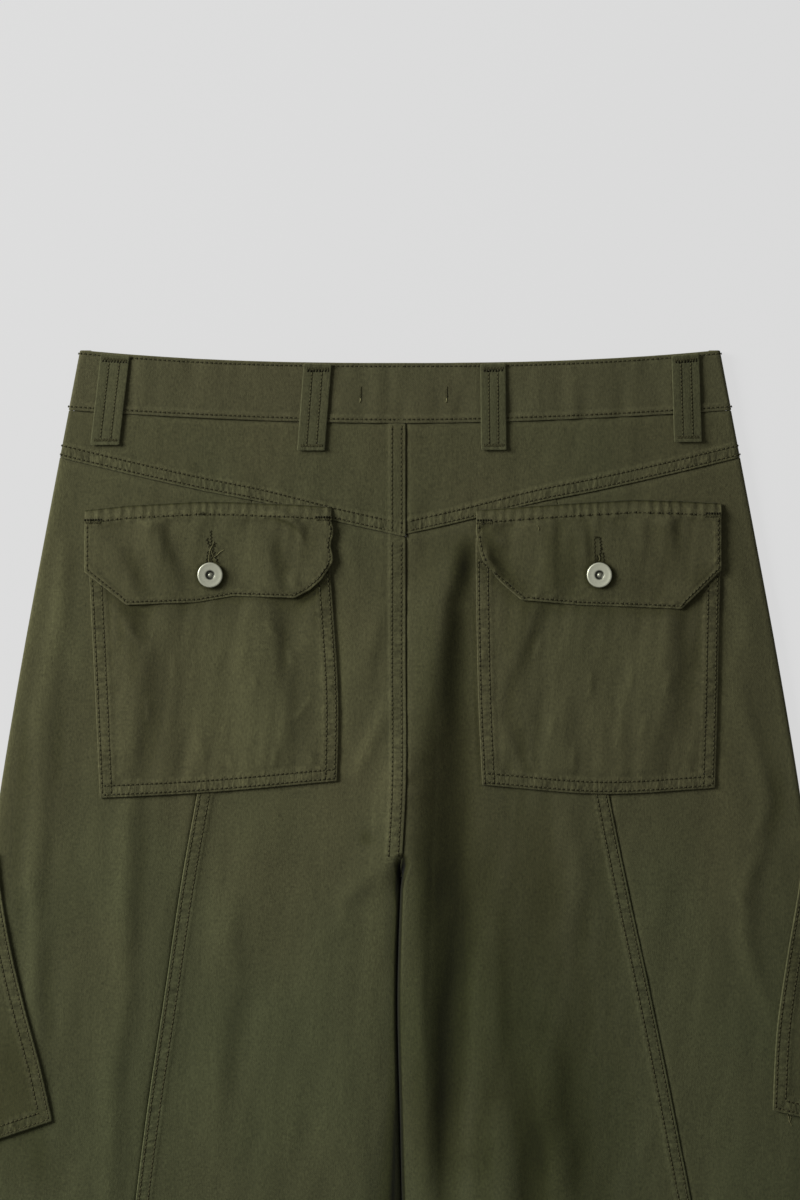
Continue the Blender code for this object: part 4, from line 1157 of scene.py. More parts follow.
def makeYoke(name, sign):
    # From the band's seam down to the yoke's own, and from the middle round to the underside.
    inset = wall / 2
    stops = [lambda d: innerEdge(sign, d) + inset, lambda d: innerEdge(sign, d) + 12 * mm, foldStart,
             underEdge, lambda d: underLip(d) - inset]
    shares = list(np.linspace(0, 0.68, 24)) + list(np.linspace(0.68, 1.0, 21)[1:])

    def upper(around):
        return backBandSeam(around) + seamGap / 2 + inset

    def lower(around):
        return yokeDepth(around) - seamGap / 2 - inset

    def seamOf(around, depth):
        strength = ladder["strength"] * onTop(around, depth)
        return np.stack([around, aboveYokeSeam(around, depth), strength], axis=-1)

    def toneOf(around, depth):
        pale = yoke["pale"] * (1.0 - smoothStep(aboveYokeSeam(around, depth), *yoke["paleEnds"]))
        return pale * onTop(around, depth)

    around, depth = spread(shares, stopPlaces(yoke["columns"]), stops, upper, lower)
    piece = clothPiece("yoke_" + name, sign, around, depth, yokeOut(sign), wall, "twill", seamOf, toneOf)
    rows = [rowAcross(sign, yokeOut(sign), yokeDepth, -row / yoke["slope"], yoke["rowStart"][name],
                      yoke["rowEnd"], 500) for row in yoke["rows"]]
    rows += seatStitches(sign, yokeOut(sign), *seat["onYoke"], 120)
    stitches = sewOn("yoke_" + name + "_stitches", rows, "twill")


leg = dict(slantRows=(2.0 * mm, 7.8 * mm), slantWide=9.2 * mm, slantThick=0.5 * mm,
           slantBegins=(0.112, 0.135), slope=0.985, rowEnds=(0.2845, 1.036), top=0.1200, hemTop=1.004,
           stepSeen=1.5 * mm, stepBelow=7.0 * mm,
           centerColumns=[1, foldSteps, 16, 46, 11], sideColumns=[8, 44, foldSteps, 2],
           centerFlat=(0.215, 0.975), centerArea=0.150, sideFlat=(0.150, 0.985), sideArea=0.110)


def legShares():
    # Rows close together where the legs are seen from near, further apart below, and close again at the hem.
    seen = np.arange(leg["top"], viewEnds, leg["stepSeen"])
    below = np.arange(viewEnds, leg["hemTop"], leg["stepBelow"])
    depths = np.concatenate([seen, below, np.linspace(leg["hemTop"] + 2 * mm, length, 14)])
    return (depths - leg["top"]) / (length - leg["top"])


def belowYoke(around):
    # The panels' upper edge, half a gap below the yoke's seam.
    return yokeDepth(around) + seamGap / 2 + wall / 2


def hemLine(around):
    # The hem goes on along the underside as it came along the top.
    behind = np.minimum(around, foldStart(length))
    before = np.maximum(around - underEdge(length), 0.0)
    return hemDepth(behind - before) - wall / 2


def hemGroove(around, depth):
    # A bell-shaped groove along the hem's row of stitches.
    return -0.2 * mm * bell(hemDepth(np.minimum(around, foldStart(length))) - depth - hem["row"], 1.0 * mm)


def slantLine(name):
    # The slanted seam's distance around, by depth.
    return smoothLine(levels, "depth", "slant" + name.capitalize())


def underYoke(around, depth):
    # The tuck under the yoke's fold.
    return tucked((depth - yokeDepth(around)) * yoke["slope"], 3.2)


def centerOut(name, sign):
    # The tuck under the yoke, the seat seam, and the felled slanted seam and the hem's groove, which both
    # fade away at the roll inside.
    slant = slantLine(name)

    def outOf(around, depth):
        under = underYoke(around, depth) + puckers(around, depth - yokeDepth(around), 9, 12, 0.22, 51)
        aside = (slant(depth) - around) * leg["slope"]
        rise = felledSeam(aside, leg["slantRows"], leg["slantWide"], leg["slantThick"])
        rise += puckers(depth, aside - 5 * mm, 5.5, 8, 0.14, 52)
        rise = rise * smoothStep(depth, *leg["slantBegins"]) + hemGroove(around, depth)
        away = np.clip((around - rollStart(sign, depth)) / (3 * mm), 0.0, 1.0)
        away = np.where(depth > crotch[0], away, 1.0)
        return under + rise * away + seatSeam(sign, around, depth)
    return outOf


def sideOut(name, sign):
    # Tucks under the yoke and under the slanted seam, with puckers beside it, and the hem's groove.
    slant = slantLine(name)

    def outOf(around, depth):
        begun = smoothStep(depth, *leg["slantBegins"])
        rise = underYoke(around, depth) + tucked((around - slant(depth)) * leg["slope"], 2.6, 0.45) * begun
        rise += puckers(depth, around - slant(depth), 7, 10, 0.14, 53)
        rise += hemGroove(around, depth)
        return rise * onTop(around, depth)
    return outOf


def makeBackCenter(name, sign):
    # From the roll under the inner edge out to the slanted seam, and from the yoke to the hem.
    slant = slantLine(name)
    inset = wall / 2
    stops = [lambda d: rollStart(sign, d) - roll + inset, lambda d: rollStart(sign, d) - foldArc,
             lambda d: rollStart(sign, d), lambda d: innerEdge(sign, d) + 20 * mm,
             lambda d: slant(d) - 12 * mm, lambda d: slant(d) - seamGap / 2 - inset]
    around, depth = spread(legShares(), stopPlaces(leg["centerColumns"]), stops, belowYoke, hemLine)

    def seamOf(around, depth):
        # The nearer of the slanted seam and the seat's; a metre away where the seat's ladder doesn't go.
        toSeat = around - innerEdge(sign, depth) + (depth > 0.335) * 1.0 + (sign > 0) * 1.0
        near = np.minimum(slant(depth) - around, toSeat)
        return np.stack([depth + 0.01, near, np.full(depth.shape, ladder["strength"])], axis=-1)

    def toneOf(around, depth):
        # Painted light and shade of the folds, and painted shade in the slot between the legs: the left leg's
        # edge is dark all round, the right one below its lip.
        turned = (rollStart(sign, depth) - around) / foldRadius
        slot = smoothStep(turned, -0.1, 0.8) if sign < 0 else smoothStep(turned, 0.20, 0.65)
        slot = slot * smoothStep(depth, *crotch) * slotShade
        x = sign * around
        tone = legShading(x, depth) + foldRise(x, depth, gapShade + crotchShade + innerEdgeShade) / mm
        return np.maximum(tone + slot, slotShade)

    out = centerOut(name, sign)
    piece = clothPiece("back_center_" + name, sign, around, depth, out, wall, "twill", seamOf, toneOf, skip=3)
    rows = [rowDown(sign, out, slant, -row / leg["slope"], *leg["rowEnds"], 1200) for row in leg["slantRows"]]
    rows += seatStitches(sign, out, *seat["onLeg"], 300)
    ends = rollStart(sign, length) + 1 * mm, slant(length) - 2 * mm
    rows.append(rowAcross(sign, out, hemDepth, -hem["row"], *ends, 200))
    stitches = sewOn("back_center_" + name + "_stitches", rows, "twill")


def makeBackSide(name, sign):
    # From the slanted seam round the outer fold to its lip on the underside.
    slant, out = slantLine(name), sideOut(name, sign)
    inset = wall / 2
    stops = [lambda d: slant(d) + seamGap / 2 + inset, lambda d: slant(d) + 9 * mm, foldStart, underEdge,
             lambda d: underLip(d) - inset]
    around, depth = spread(legShares(), stopPlaces(leg["sideColumns"]), stops, belowYoke, hemLine)
    piece = clothPiece("back_side_" + name, sign, around, depth, out, wall, "twill",
                       toneOf=lambda a, d: legShading(sign * a, d), skip=3)
    ends = slant(length) + 2 * mm, foldStart(length) - 1 * mm
    rows = [rowAcross(sign, out, hemDepth, -hem["row"], *ends, 200)]
    stitches = sewOn("back_side_" + name + "_stitches", rows, "twill")


front = dict(columns=40, rows=110, rise=0.35 * mm, flat=(0.300, 0.985), area=0.225)


def frontOut(sign):
    # Soft hollows up from the floor, none below it.
    def outOf(around, depth):
        x = sign * frontAcross(around, depth)
        return -front["rise"] * np.abs(wrinkles(x, depth, 0.040, 0.120, 61)) * smoothStep(depth, 0.06, 0.12)
    return outOf


def makeFront(name, sign):
    # The lower layer, from the lip of the back's underside to the middle line.
    inset = wall / 2

    def innerLine(depth):
        rolled = smoothStep(depth, *frontCrotch)
        inner = innerEdge(sign, depth) + foldRadius + lip + stackGap
        across = (1.0 - rolled) * (sign * middleLine(depth) + seamGap / 2) + rolled * inner
        return underEdge(depth) + foldStart(depth) - across - inset

    def upper(around):
        return frontBandSeam(frontAcross(around, bandHeight)) - underLap + inset

    stops = [lambda d: underLip(d) + seamGap + inset, innerLine]
    around, depth = spread(even(front["rows"]), even(front["columns"]), stops, upper, hemLine)
    piece = clothPiece("front_" + name, sign, around, depth, frontOut(sign), wall, "twill")


# The pocket's edges by depth and across; "rows" are its double rows of stitches.
# The dark band under the flap is a painted shadow.
pocket = dict(top=0.122, rows=(1.9 * mm, 7.8 * mm), rowTop=0.135, cornerDepth=0.285, wide=9.4 * mm,
              thick=0.4 * mm, pressed=0.40 * mm, columns=[11, 84, 11], underFlapShadow=-0.24, underReach=9 * mm,
              flat=(0.160, 0.168), area=0.0262)
pocketSides = dict(
    left=dict(
        depth=[0.122, 0.17, 0.226, 0.292],
        inner=[0.047, 0.0432, 0.0399, 0.041],
        outer=[0.203, 0.2008, 0.198, 0.195],
    ),
    right=dict(
        depth=[0.122, 0.17, 0.226, 0.292],
        inner=[0.0491, 0.0496, 0.0508, 0.0538],
        outer=[0.2088, 0.2078, 0.2066, 0.2046],
    ),
)
pocketFoot = dict(
    left=dict(
        across=[0.041, 0.131, 0.195],
        bottom=[0.2802, 0.288, 0.2912],
    ),
    right=dict(
        across=[0.054, 0.134, 0.205],
        bottom=[0.2828, 0.2886, 0.2847],
    ),
)
# Folds on each pocket in millimetres: (depth, x, width to the left, width to the right, rise).
pocketFolds = {
    "left": [
        [(150, -188, 12, 8, 0), (165, -186, 13, 9, 1.6), (180, -179, 15, 11, 2.1),
         (195, -171, 17, 12, 2.5), (228, -170, 17, 12, 2.4), (262, -174, 17, 11, 1.5),
         (286, -175, 14, 10, 0)],
        [(152, -90, 22, 8, 0), (166, -88, 24, 8, 1.7), (195, -83, 26, 8, 2), (228, -79, 26, 8, 1.7),
         (250, -76, 24, 8, 1.5), (282, -76, 22, 8, 0)],
        [(218, -66, 8, 7, 0), (240, -64, 8, 7, 0.9), (262, -64, 8, 7, 0.8), (284, -64, 8, 7, 0)],
        [(182, -103, 8, 6, 0), (200, -101, 8, 6, 0.7), (222, -100, 8, 6, 0.6), (242, -100, 8, 6, 0)],
        [(148, -126, 8, 7, 0), (165, -124, 8, 7, 0.8), (182, -122, 8, 7, 0.4), (205, -120, 8, 7, 0)],
        [(200, -130, 14, 12, 0), (225, -132, 14, 12, -0.7), (260, -132, 14, 12, 0)],
    ],
    "right": [
        [(152, 86, 10, 6, 0), (168, 86, 11, 6.5, 1.3), (182, 82, 11, 6.5, 1.5), (200, 74, 11, 6.5, 1.5),
         (218, 68, 11, 6, 1.1), (238, 65, 10, 6, 0)],
        [(228, 61, 10, 6, 0), (246, 66, 11, 6, 1.1), (262, 73, 11, 6, 1.3), (274, 77, 10, 6, 1.1),
         (288, 80, 9, 6, 0)],
        [(150, 119, 13, 7, 0), (170, 119, 13, 7, 1), (195, 115, 13, 7, 1), (221, 117, 13, 7, 0.7),
         (246, 117, 13, 7, 0)],
        [(208, 104, 10, 7, 0), (240, 105, 10, 7, 0.5), (270, 106, 10, 7, 0.6), (288, 106, 10, 7, 0)],
        [(218, 131, 9, 6, 0), (245, 131, 9, 5.5, 0.8), (272, 130, 9, 5.5, 0.7), (288, 130, 9, 6, 0)],
        [(218, 143, 8, 6, 0), (250, 142, 8, 5.5, 0.8), (280, 143, 8, 5.5, 0.7), (290, 143, 8, 6, 0)],
        [(154, 170, 22, 10, 0), (176, 172, 22, 10, 2.2), (198, 172, 22, 10, 2.6), (228, 170, 22, 11, 2.1),
         (250, 164, 20, 12, 1.9), (270, 160, 18, 12, 1.2), (288, 158, 18, 12, 0)],
    ],
}
# Painted light and shade on the pockets, with a painted shadow under the left flap's corner, in the legs'
# units.
pocketShading = {
    "left": [
        [(140, -125, 90, 90, 0.06), (290, -125, 90, 90, 0.06)],
        [(158, -184, 10, 10, 0), (172, -178, 11, 12, -0.24), (205, -172, 11, 12, -0.22),
         (228, -166, 10, 12, -0.22), (262, -160, 10, 11, -0.16), (290, -162, 9, 10, 0)],
        [(165, -112, 16, 18, 0), (190, -114, 20, 24, 0.14), (240, -116, 24, 38, 0.22),
         (285, -100, 26, 44, 0.16)],
        [(176, -44, 5, 6, 0), (190, -44, 6, 6, 0.2), (240, -44, 6, 6, 0.14), (285, -44, 6, 6, 0.06)],
        [(150, -62, 8, 8, -0.1), (162, -58, 10, 10, -0.22), (174, -58, 8, 8, -0.18), (186, -60, 8, 8, 0)],
        [(143, -42.8, 2, 2.4, 0), (147, -44.2, 2, 2.6, -0.65), (152, -48.4, 2.2, 2.8, -0.75),
         (158, -54.8, 2.4, 3, -0.6), (163, -62, 3, 3, -0.3), (166, -66, 3, 3, 0)],
        [(160, -82, 6, 7, 0), (182, -78, 6, 7, -0.08), (215, -73, 6, 7, -0.1), (270, -62, 7, 7, -0.1),
         (290, -62, 7, 7, 0)],
    ],
    "right": [
        [(158, 84, 8, 8, 0), (170, 83, 9, 9, -0.2), (190, 78, 9, 9, -0.24), (215, 74, 8, 9, -0.12),
         (240, 76, 8, 9, -0.12), (270, 80, 8, 9, -0.14), (290, 80, 8, 9, 0)],
        [(180, 136, 9, 9, 0), (200, 136, 10, 11, 0.13), (235, 136, 10, 11, 0.12), (270, 138, 10, 11, 0)],
        [(160, 184, 10, 10, 0), (200, 188, 10, 9, -0.14), (230, 184, 10, 10, -0.1), (262, 176, 9, 10, 0)],
        [(160, 104, 9, 9, 0), (190, 102, 10, 9, 0.07), (225, 102, 10, 9, 0.05), (250, 102, 9, 9, 0)],
        [(170, 160, 9, 9, 0), (200, 160, 10, 9, 0.08), (230, 160, 9, 9, 0)],
    ],
}
# Small sharp creases on the pockets, in the legs' units.
pocketCreases = {
    "left": [
        (-72.4, 194, -68.8, 207, 2.2, 0.55), (-95.2, 210, -93.3, 223, 2, 0.45),
        (-164.3, 226, -163.4, 243, 2, 0.45), (-56.9, 225, -64.2, 234, 2, 0.5),
        (-62.4, 233, -69.7, 241, 2, 0.5), (-111.5, 262, -108.8, 274, 2, 0.5),
        (-58.8, 262, -56, 272, 2, 0.45), (-80.6, 257, -82.4, 272, 2.2, 0.5),
        (-181, 173, -169.8, 192, 2.6, 0.6), (-88, 176, -76, 190, 2.4, 0.5),
        (-149, 196, -146, 214, 2.2, 0.4), (-132, 250, -127, 268, 2.4, 0.35),
    ],
    "right": [
        (92, 186, 88, 202, 2.2, 0.5), (100, 236, 97, 254, 2, 0.45), (124, 208, 123, 228, 2.2, 0.45),
        (137, 228, 136, 246, 2, 0.45), (150, 204, 149, 222, 2, 0.4), (160, 236, 155, 256, 2.4, 0.5),
        (84, 262, 88, 276, 2.2, 0.45), (112, 258, 113, 274, 2, 0.45), (176, 208, 172, 226, 2.4, 0.5),
    ],
}


def pocketEdges(name):
    # The distances of a place from the pocket's inner, outer and lower edge, and the lines of these edges.
    inner = smoothLine(pocketSides[name], "depth", "inner")
    outer = smoothLine(pocketSides[name], "depth", "outer")
    foot = smoothLine(pocketFoot[name], "across", "bottom")
    return inner, outer, foot, lambda a, d: [a - inner(d), outer(d) - a, foot(a) - d]


def pocketOut(name, sign):
    # Turned edges, puckers along them, and inside them the folds, which the flap presses flat.
    inner, outer, foot, asidesOf = pocketEdges(name)
    flapFoot = straightLine(flapLines[name], "across", "bottom")

    def outOf(around, depth):
        asides = asidesOf(around, depth)
        left, right, down = asides
        beside = np.minimum(left, right)
        edge = np.minimum(beside, down)
        along = np.where(down < beside, around, depth)
        rise = hemmedEdges(asides, pocket["rows"], pocket["wide"], pocket["thick"])
        rise += puckers(along, edge - 4 * mm, 5.2, 9, 0.20, 71)
        rise += puckers(along + 0.03, edge - 12 * mm, 9, 13, 0.30, 72)
        x = sign * around
        past = depth - flapFoot(around)
        rise = rise * (0.2 + 0.8 * smoothStep(past, -16 * mm, -5 * mm))
        free = smoothStep(edge, 3 * mm, 16 * mm) * smoothStep(past, -12 * mm, 10 * mm)
        folds = foldRise(x, depth, pocketFolds[name]) + creaseRise(x, depth, pocketCreases[name])
        rise += folds * free
        rise += 0.75 * mm * wrinkles(x, depth, 0.012, 0.055, 73) * free
        under = 1.0 - smoothStep(past, -14 * mm, -4 * mm)
        return stackGap + wall + rise - 0.25 * mm * under - pocket["pressed"] * bell(edge, 1.6 * mm)
    return outOf


def makeBackPocket(name, sign):
    # A grid between the pocket's sides, from its upper edge to its foot.
    out = pocketOut(name, sign)
    inner, outer, foot, asidesOf = pocketEdges(name)
    flapFoot = straightLine(flapLines[name], "across", "bottom")
    inset = wall / 2
    stops = [lambda d: inner(d) + inset, lambda d: inner(d) + 12 * mm, lambda d: outer(d) - 12 * mm,
             lambda d: outer(d) - inset]
    shares = list(np.linspace(0, 0.92, 94)) + list(np.linspace(0.92, 1.0, 13)[1:])
    around, depth = spread(shares, stopPlaces(pocket["columns"]), stops,
                           lambda a: pocket["top"] + inset + 0.0 * a, lambda a: foot(a) - inset)

    def seamOf(around, depth):
        return ladderAt(asidesOf(around, depth), [depth, depth + 0.1, around])

    def toneOf(around, depth):
        # The folds' painted light and shade, and a painted shadow that fades away below the flap.
        dark = pocket["underFlapShadow"] * bell(flapFoot(around) - depth, pocket["underReach"])
        return foldRise(sign * around, depth, pocketShading[name]) / mm + dark

    piece = clothPiece("back_pocket_" + name, sign, around, depth, out, wall, "pocket_cloth", seamOf, toneOf,
                       skip=3)
    corner, short = pocket["cornerDepth"], 1.5 * mm
    rows = []
    for row in pocket["rows"]:
        for line, offset in ((inner, row), (outer, -row)):
            rows.append(rowDown(sign, out, line, offset, pocket["rowTop"], foot(line(corner)) - short, 300))
        rows.append(rowAcross(sign, out, foot, -row, inner(corner) + short, outer(corner) - short, 300))
    stitches = sewOn("back_pocket_" + name + "_stitches", rows, "pocket_cloth")


# "Climb" is the way over which the flap rises onto its pocket, "row" the stitches below its sewn edge.
# The two negative tones are painted shadows: along the sewn top edge and in a ring round the button.
flap = dict(thick=1.2 * mm, dip=0.5 * mm, lip=0.22, topEdgeShadow=-0.55, buttonShadowRing=-0.45, barPitch=6.4 * mm,
            barHigh=0.34 * mm, climb=0.009, row=8.4 * mm, edgeRow=2.0 * mm, slope=0.9, wave=0.80 * mm,
            waveSize=(0.0095, 0.050), stepAcross=0.95 * mm, rows=50, flat=(0.163, 0.068), area=0.0092)
flapNear = stackGap + flap["thick"]
flapFar = flapNear + stackGap + wall
flapLines = dict(
    left=dict(
        across=[0.044, 0.047, 0.052, 0.059, 0.0683, 0.1086, 0.132, 0.1775, 0.205],
        top=[0.102, 0.1018, 0.1014, 0.1009, 0.1003, 0.0987, 0.0985, 0.101, 0.104],
        bottom=[0.137, 0.1432, 0.1502, 0.1562, 0.1612, 0.16, 0.1641, 0.1658, 0.144],
    ),
    right=dict(
        across=[0.0494, 0.0793, 0.117, 0.1521, 0.1827, 0.2088],
        top=[0.104, 0.1018, 0.0992, 0.0972, 0.098, 0.0995],
        bottom=[0.1375, 0.1625, 0.1658, 0.167, 0.1684, 0.143],
    ),
)
# Folds in millimetres: (depth, x, width to the left, width to the right, rise).
flapFolds = {
    "left": [
        [(104, -163, 9, 5, 0), (112, -161, 10, 6, 1.6), (128, -156, 12, 7, 2.3), (142, -150, 12, 7, 1.9),
         (155, -146, 10, 7, 0.8), (168, -144, 8, 6, 0)],
        [(122, -187, 9, 6, 0), (135, -183, 10, 6, 1.5), (150, -177, 11, 7, 1.8), (162, -172, 10, 7, 1)],
        [(112, -92, 12, 7, 0), (128, -88, 14, 7, 1.7), (146, -83, 14, 7, 2.2), (160, -79, 12, 7, 1.3)],
        [(142, -71, 5, 4, 0), (149, -70, 5, 4, 1.2), (158, -68, 5, 4, 0.8)],
        [(106, -136, 7, 5, 0), (114, -135, 7, 5, 0.7), (128, -134, 7, 5, 0)],
        [(118, -113, 8, 8, 0), (134, -110, 9, 8, -0.9), (152, -106, 9, 8, -0.8), (164, -104, 8, 8, 0)],
    ],
    "right": [
        [(116, 50, 7, 5, 0), (127, 52, 7, 5, 2), (137, 56, 7, 5, 3), (150, 64, 7, 5, 2.8),
         (162, 75, 7, 5, 1.6)],
        [(118, 64, 5, 4, 0), (124, 66, 5, 4, 1), (130, 68, 5, 4, 0)],
        [(104, 96, 9, 5, 0), (118, 98, 9, 5, 1.5), (135, 98, 10, 5, 1.7), (152, 98, 9, 5, 1.3),
         (166, 98, 9, 5, 0.4)],
        [(108, 116, 8, 5, 0), (120, 118, 8, 4.5, 1.6), (132, 119, 8, 4.5, 1.7), (142, 120, 7, 5, 0.7),
         (148, 120, 7, 5, 0)],
        [(108, 108, 6, 4, 0), (122, 108, 6, 4, 0.8), (136, 109, 6, 4, 0.6), (152, 109, 6, 4, 0)],
        [(110, 136, 9, 10, 0), (126, 140, 12, 14, 1.1), (148, 142, 14, 14, 1), (164, 142, 12, 12, 0)],
        [(104, 154, 7, 5, 0), (114, 155, 7, 5, 1), (124, 157, 7, 5, 0.6), (138, 158, 7, 5, 0)],
        [(104, 172, 8, 5, 0), (112, 173, 8, 5, 1.2), (124, 176, 8, 5, 1), (142, 178, 8, 5, 0)],
        [(106, 84, 6, 5, 0), (114, 84, 6, 5, 0.7), (128, 85, 6, 5, 0)],
    ],
}
# How far each flap's edge beside the seat seam stands from its line, by depth, in millimetres.
flapEdge = {
    "left": [
        (102, 0), (106, 0.4), (109.5, 0.7), (112, 0.5), (115.7, -0.9), (119.5, -0.8), (123.5, 0.4),
        (128, 0.9), (133, -0.2), (136, -0.7), (140, 0),
    ],
    "right": [
        (119, 0), (126, 1), (132, 2.3), (137.5, 4.4), (142, 3.2), (150, 1.6), (160, 0),
    ],
}
# Painted light and shade along the flaps' folds, in the legs' units.
flapShading = {
    "left": [
        [(108, -158, 6, 5, 0), (118, -156, 7, 5, -0.16), (135, -150, 8, 6, -0.22),
         (150, -145, 8, 6, -0.15), (164, -142, 7, 5, 0)],
        [(122, -178, 7, 6, 0), (140, -173, 7, 6, -0.16), (156, -167, 7, 6, -0.13), (166, -163, 5, 4, 0)],
        [(112, -86, 8, 7, 0), (130, -81, 9, 7, -0.15), (146, -78, 9, 7, -0.18), (162, -76, 8, 6, 0)],
        [(108, -147, 7, 8, 0), (120, -143, 7, 8, 0.08), (145, -136, 8, 8, 0.09), (162, -134, 8, 8, 0)],
        [(110, -99, 9, 8, 0), (130, -96, 9, 8, 0.09), (152, -92, 9, 8, 0.07), (162, -90, 8, 7, 0)],
        [(108, -190, 14, 14, 0), (113, -192, 14, 14, -0.12), (118, -192, 14, 14, 0)],
        [(106, -60, 10, 10, 0), (122, -56, 8, 6, -0.12), (134, -57, 8, 6, -0.08), (142, -60, 8, 6, 0)],
    ],
    "right": [
        [(107, 52, 5, 7, 0), (116, 55, 6, 8, -0.22), (128, 58, 6, 9, -0.34), (140, 63, 6, 9, -0.36),
         (150, 69, 6, 9, -0.34), (162, 77, 6, 8, -0.12)],
        [(108, 98, 6, 6, 0), (120, 99, 6, 6, -0.16), (150, 99, 6, 6, -0.16), (166, 98, 6, 6, 0)],
        [(110, 110, 5, 5, 0), (124, 110, 5, 5, -0.11), (150, 109, 5, 5, -0.11), (164, 109, 5, 5, 0)],
        [(110, 121, 5, 5, 0), (122, 121, 5, 5, -0.14), (140, 120, 5, 5, -0.09), (150, 120, 5, 5, 0)],
        [(112, 145, 13, 14, 0), (128, 145, 13, 14, 0.07), (152, 145, 13, 14, 0.05), (166, 145, 12, 12, 0)],
        [(108, 173, 7, 7, 0), (116, 174, 7, 7, -0.15), (130, 177, 7, 7, -0.08), (142, 178, 7, 7, 0)],
        [(136, 196, 9, 9, 0), (150, 194, 9, 9, -0.13), (165, 190, 9, 9, 0)],
        [(96, 130, 95, 95, -0.07), (170, 130, 95, 95, -0.07)],
    ],
}
# Threads that show on each flap: the buttonhole's two zigzag sides, loose ends, and a knot in the row above.
# The darkest zigzags stand for the thread and the painted shade in the buttonholes' slits.
flapThreads = {
    "left": [
        zigzag(-122.9, 117.4, -122.6, 127.2, 1.1, 10, 0.22, 0.34),
        zigzag(-125.5, 122.6, -123.4, 129, 1.5, 7, 0.22, 0.3),
        zigzag(-119.8, 125.4, -121.6, 129.4, 1.3, 5, 0.22, 0.38),
        zigzag(-121.5, 129.4, -118.4, 138.6, 1.4, 9, 0.22, 0.32),
        zigzag(-122.3, 130.4, -122.4, 138.4, 1.1, 8, 0.22, 0.32),
        zigzag(-124.5, 130.6, -125.8, 138.4, 1.1, 8, 0.22, 0.34),
        [(-120.8, 124.4, 0.3, 2.2), (-122, 127.6, 0.4, 3), (-123.5, 130.2, 0.4, 3.2),
         (-124, 133.6, 0.4, 2.8), (-124.2, 137, 0.4, 3), (-123.6, 139.6, 0.3, 3)],
        [(-123.4, 127.6, 0.3, 2), (-122.2, 131.6, 0.4, 2.2), (-121, 134.6, 0.3, 1.8)],
        [(-120.6, 134.4, 0.1, 3.2), (-118.6, 133.2, 0.2, 4.2), (-116.6, 131, 0.2, 4.4),
         (-114.4, 130, 0.1, 4)],
        [(-130.2, 106.4, 0.5, 0.5), (-127.4, 105.6, 0.7, 0.4), (-127.6, 107.2, 0.9, 0.4),
         (-129.6, 106.9, 0.7, 0.5), (-126.6, 106.6, 0.5, 0.5)],
    ],
    "right": [
        zigzag(126.2, 122.2, 126.6, 138.5, 1, 13, 0.12, 0.8),
        zigzag(129.8, 122.2, 130.5, 129.2, 1.2, 8, 0.24, 0.34),
        zigzag(130.6, 129.2, 129.2, 136.4, 1.2, 7, 0.24, 0.34),
        zigzag(131.8, 131.6, 132.4, 138.5, 1, 7, 0.2, 0.42),
        zigzag(126.2, 121.6, 129.4, 121.8, 1, 5, 0.26, 0.5),
        zigzag(128.2, 133, 127.6, 138.5, 1, 5, 0.2, 0.5),
        [(129, 133, 0.3, 2.6), (129.8, 135.2, 0.4, 3.2), (129.2, 137.2, 0.3, 2.8)],
        [(89, 114, 0.3, 3), (90.2, 115.6, 0.4, 3.2), (89.8, 117.6, 0.3, 3)],
    ],
}
# Raised and puffed places at the flaps' corners, as blobs.
flapBlobs = {
    "left": [
        (-46, 118, 6, 10, 0.9), (-46, 134, 7, 8, 1.1), (-56, 152, 12, 9, 1.4), (-82, 161, 14, 6, 0.7),
        (-202, 136, 8, 16, 0.6), (-172, 164, 18, 6, 0.5),
    ],
    "right": [
        (207, 120, 7, 12, 0.8), (207, 138, 7, 9, 1), (190, 158, 13, 9, 1.2), (165, 166, 18, 6, 0.7),
        (88, 163, 14, 6, 0.9),
    ],
}
# The crease below the left flap's row of stitches, as a form and as painted shade: its line, width and rise.
cornerCrease = dict(form=(((-90, 107), (-66, 106), (-63.5, 123)), 2.6 * mm, 1.9 * mm),
                    tone=(((-89, 109.2), (-68, 108.6), (-61.5, 124.5)), 1.1 * mm, -0.6))


def curvedCrease(x, depth, points, width, rise):
    # A crease along a short curve: its nearest point gives the distance, and its rise fades at the ends.
    t = np.linspace(0.0, 1.0, 24)
    a, b, c = np.array(points) * mm
    curve = ((1 - t) ** 2)[:, None] * a + (2 * t * (1 - t))[:, None] * b + (t ** 2)[:, None] * c
    gaps = np.hypot(x[..., None] - curve[:, 0], depth[..., None] - curve[:, 1])
    nearest = gaps.argmin(axis=-1)
    return rise * bell(gaps.min(axis=-1), width) * np.sin(math.pi * np.clip(t[nearest] * 0.9 + 0.05, 0, 1))


def flapPlace(name):
    # A flap's upper and lower lines, its ends, and for a place: the distances from the sides, from the sewn
    # edge and from its button.
    table = flapLines[name]
    top, foot = straightLine(table, "across", "top"), straightLine(table, "across", "bottom")
    first, last = table["across"][0], table["across"][-1]
    button = buttons[name]

    def read(around, depth):
        beside = np.minimum(around - first, last - around)
        away = np.hypot(around - button["across"], depth - button["depth"])
        return beside, depth - top(around), away

    return top, foot, first, last, read


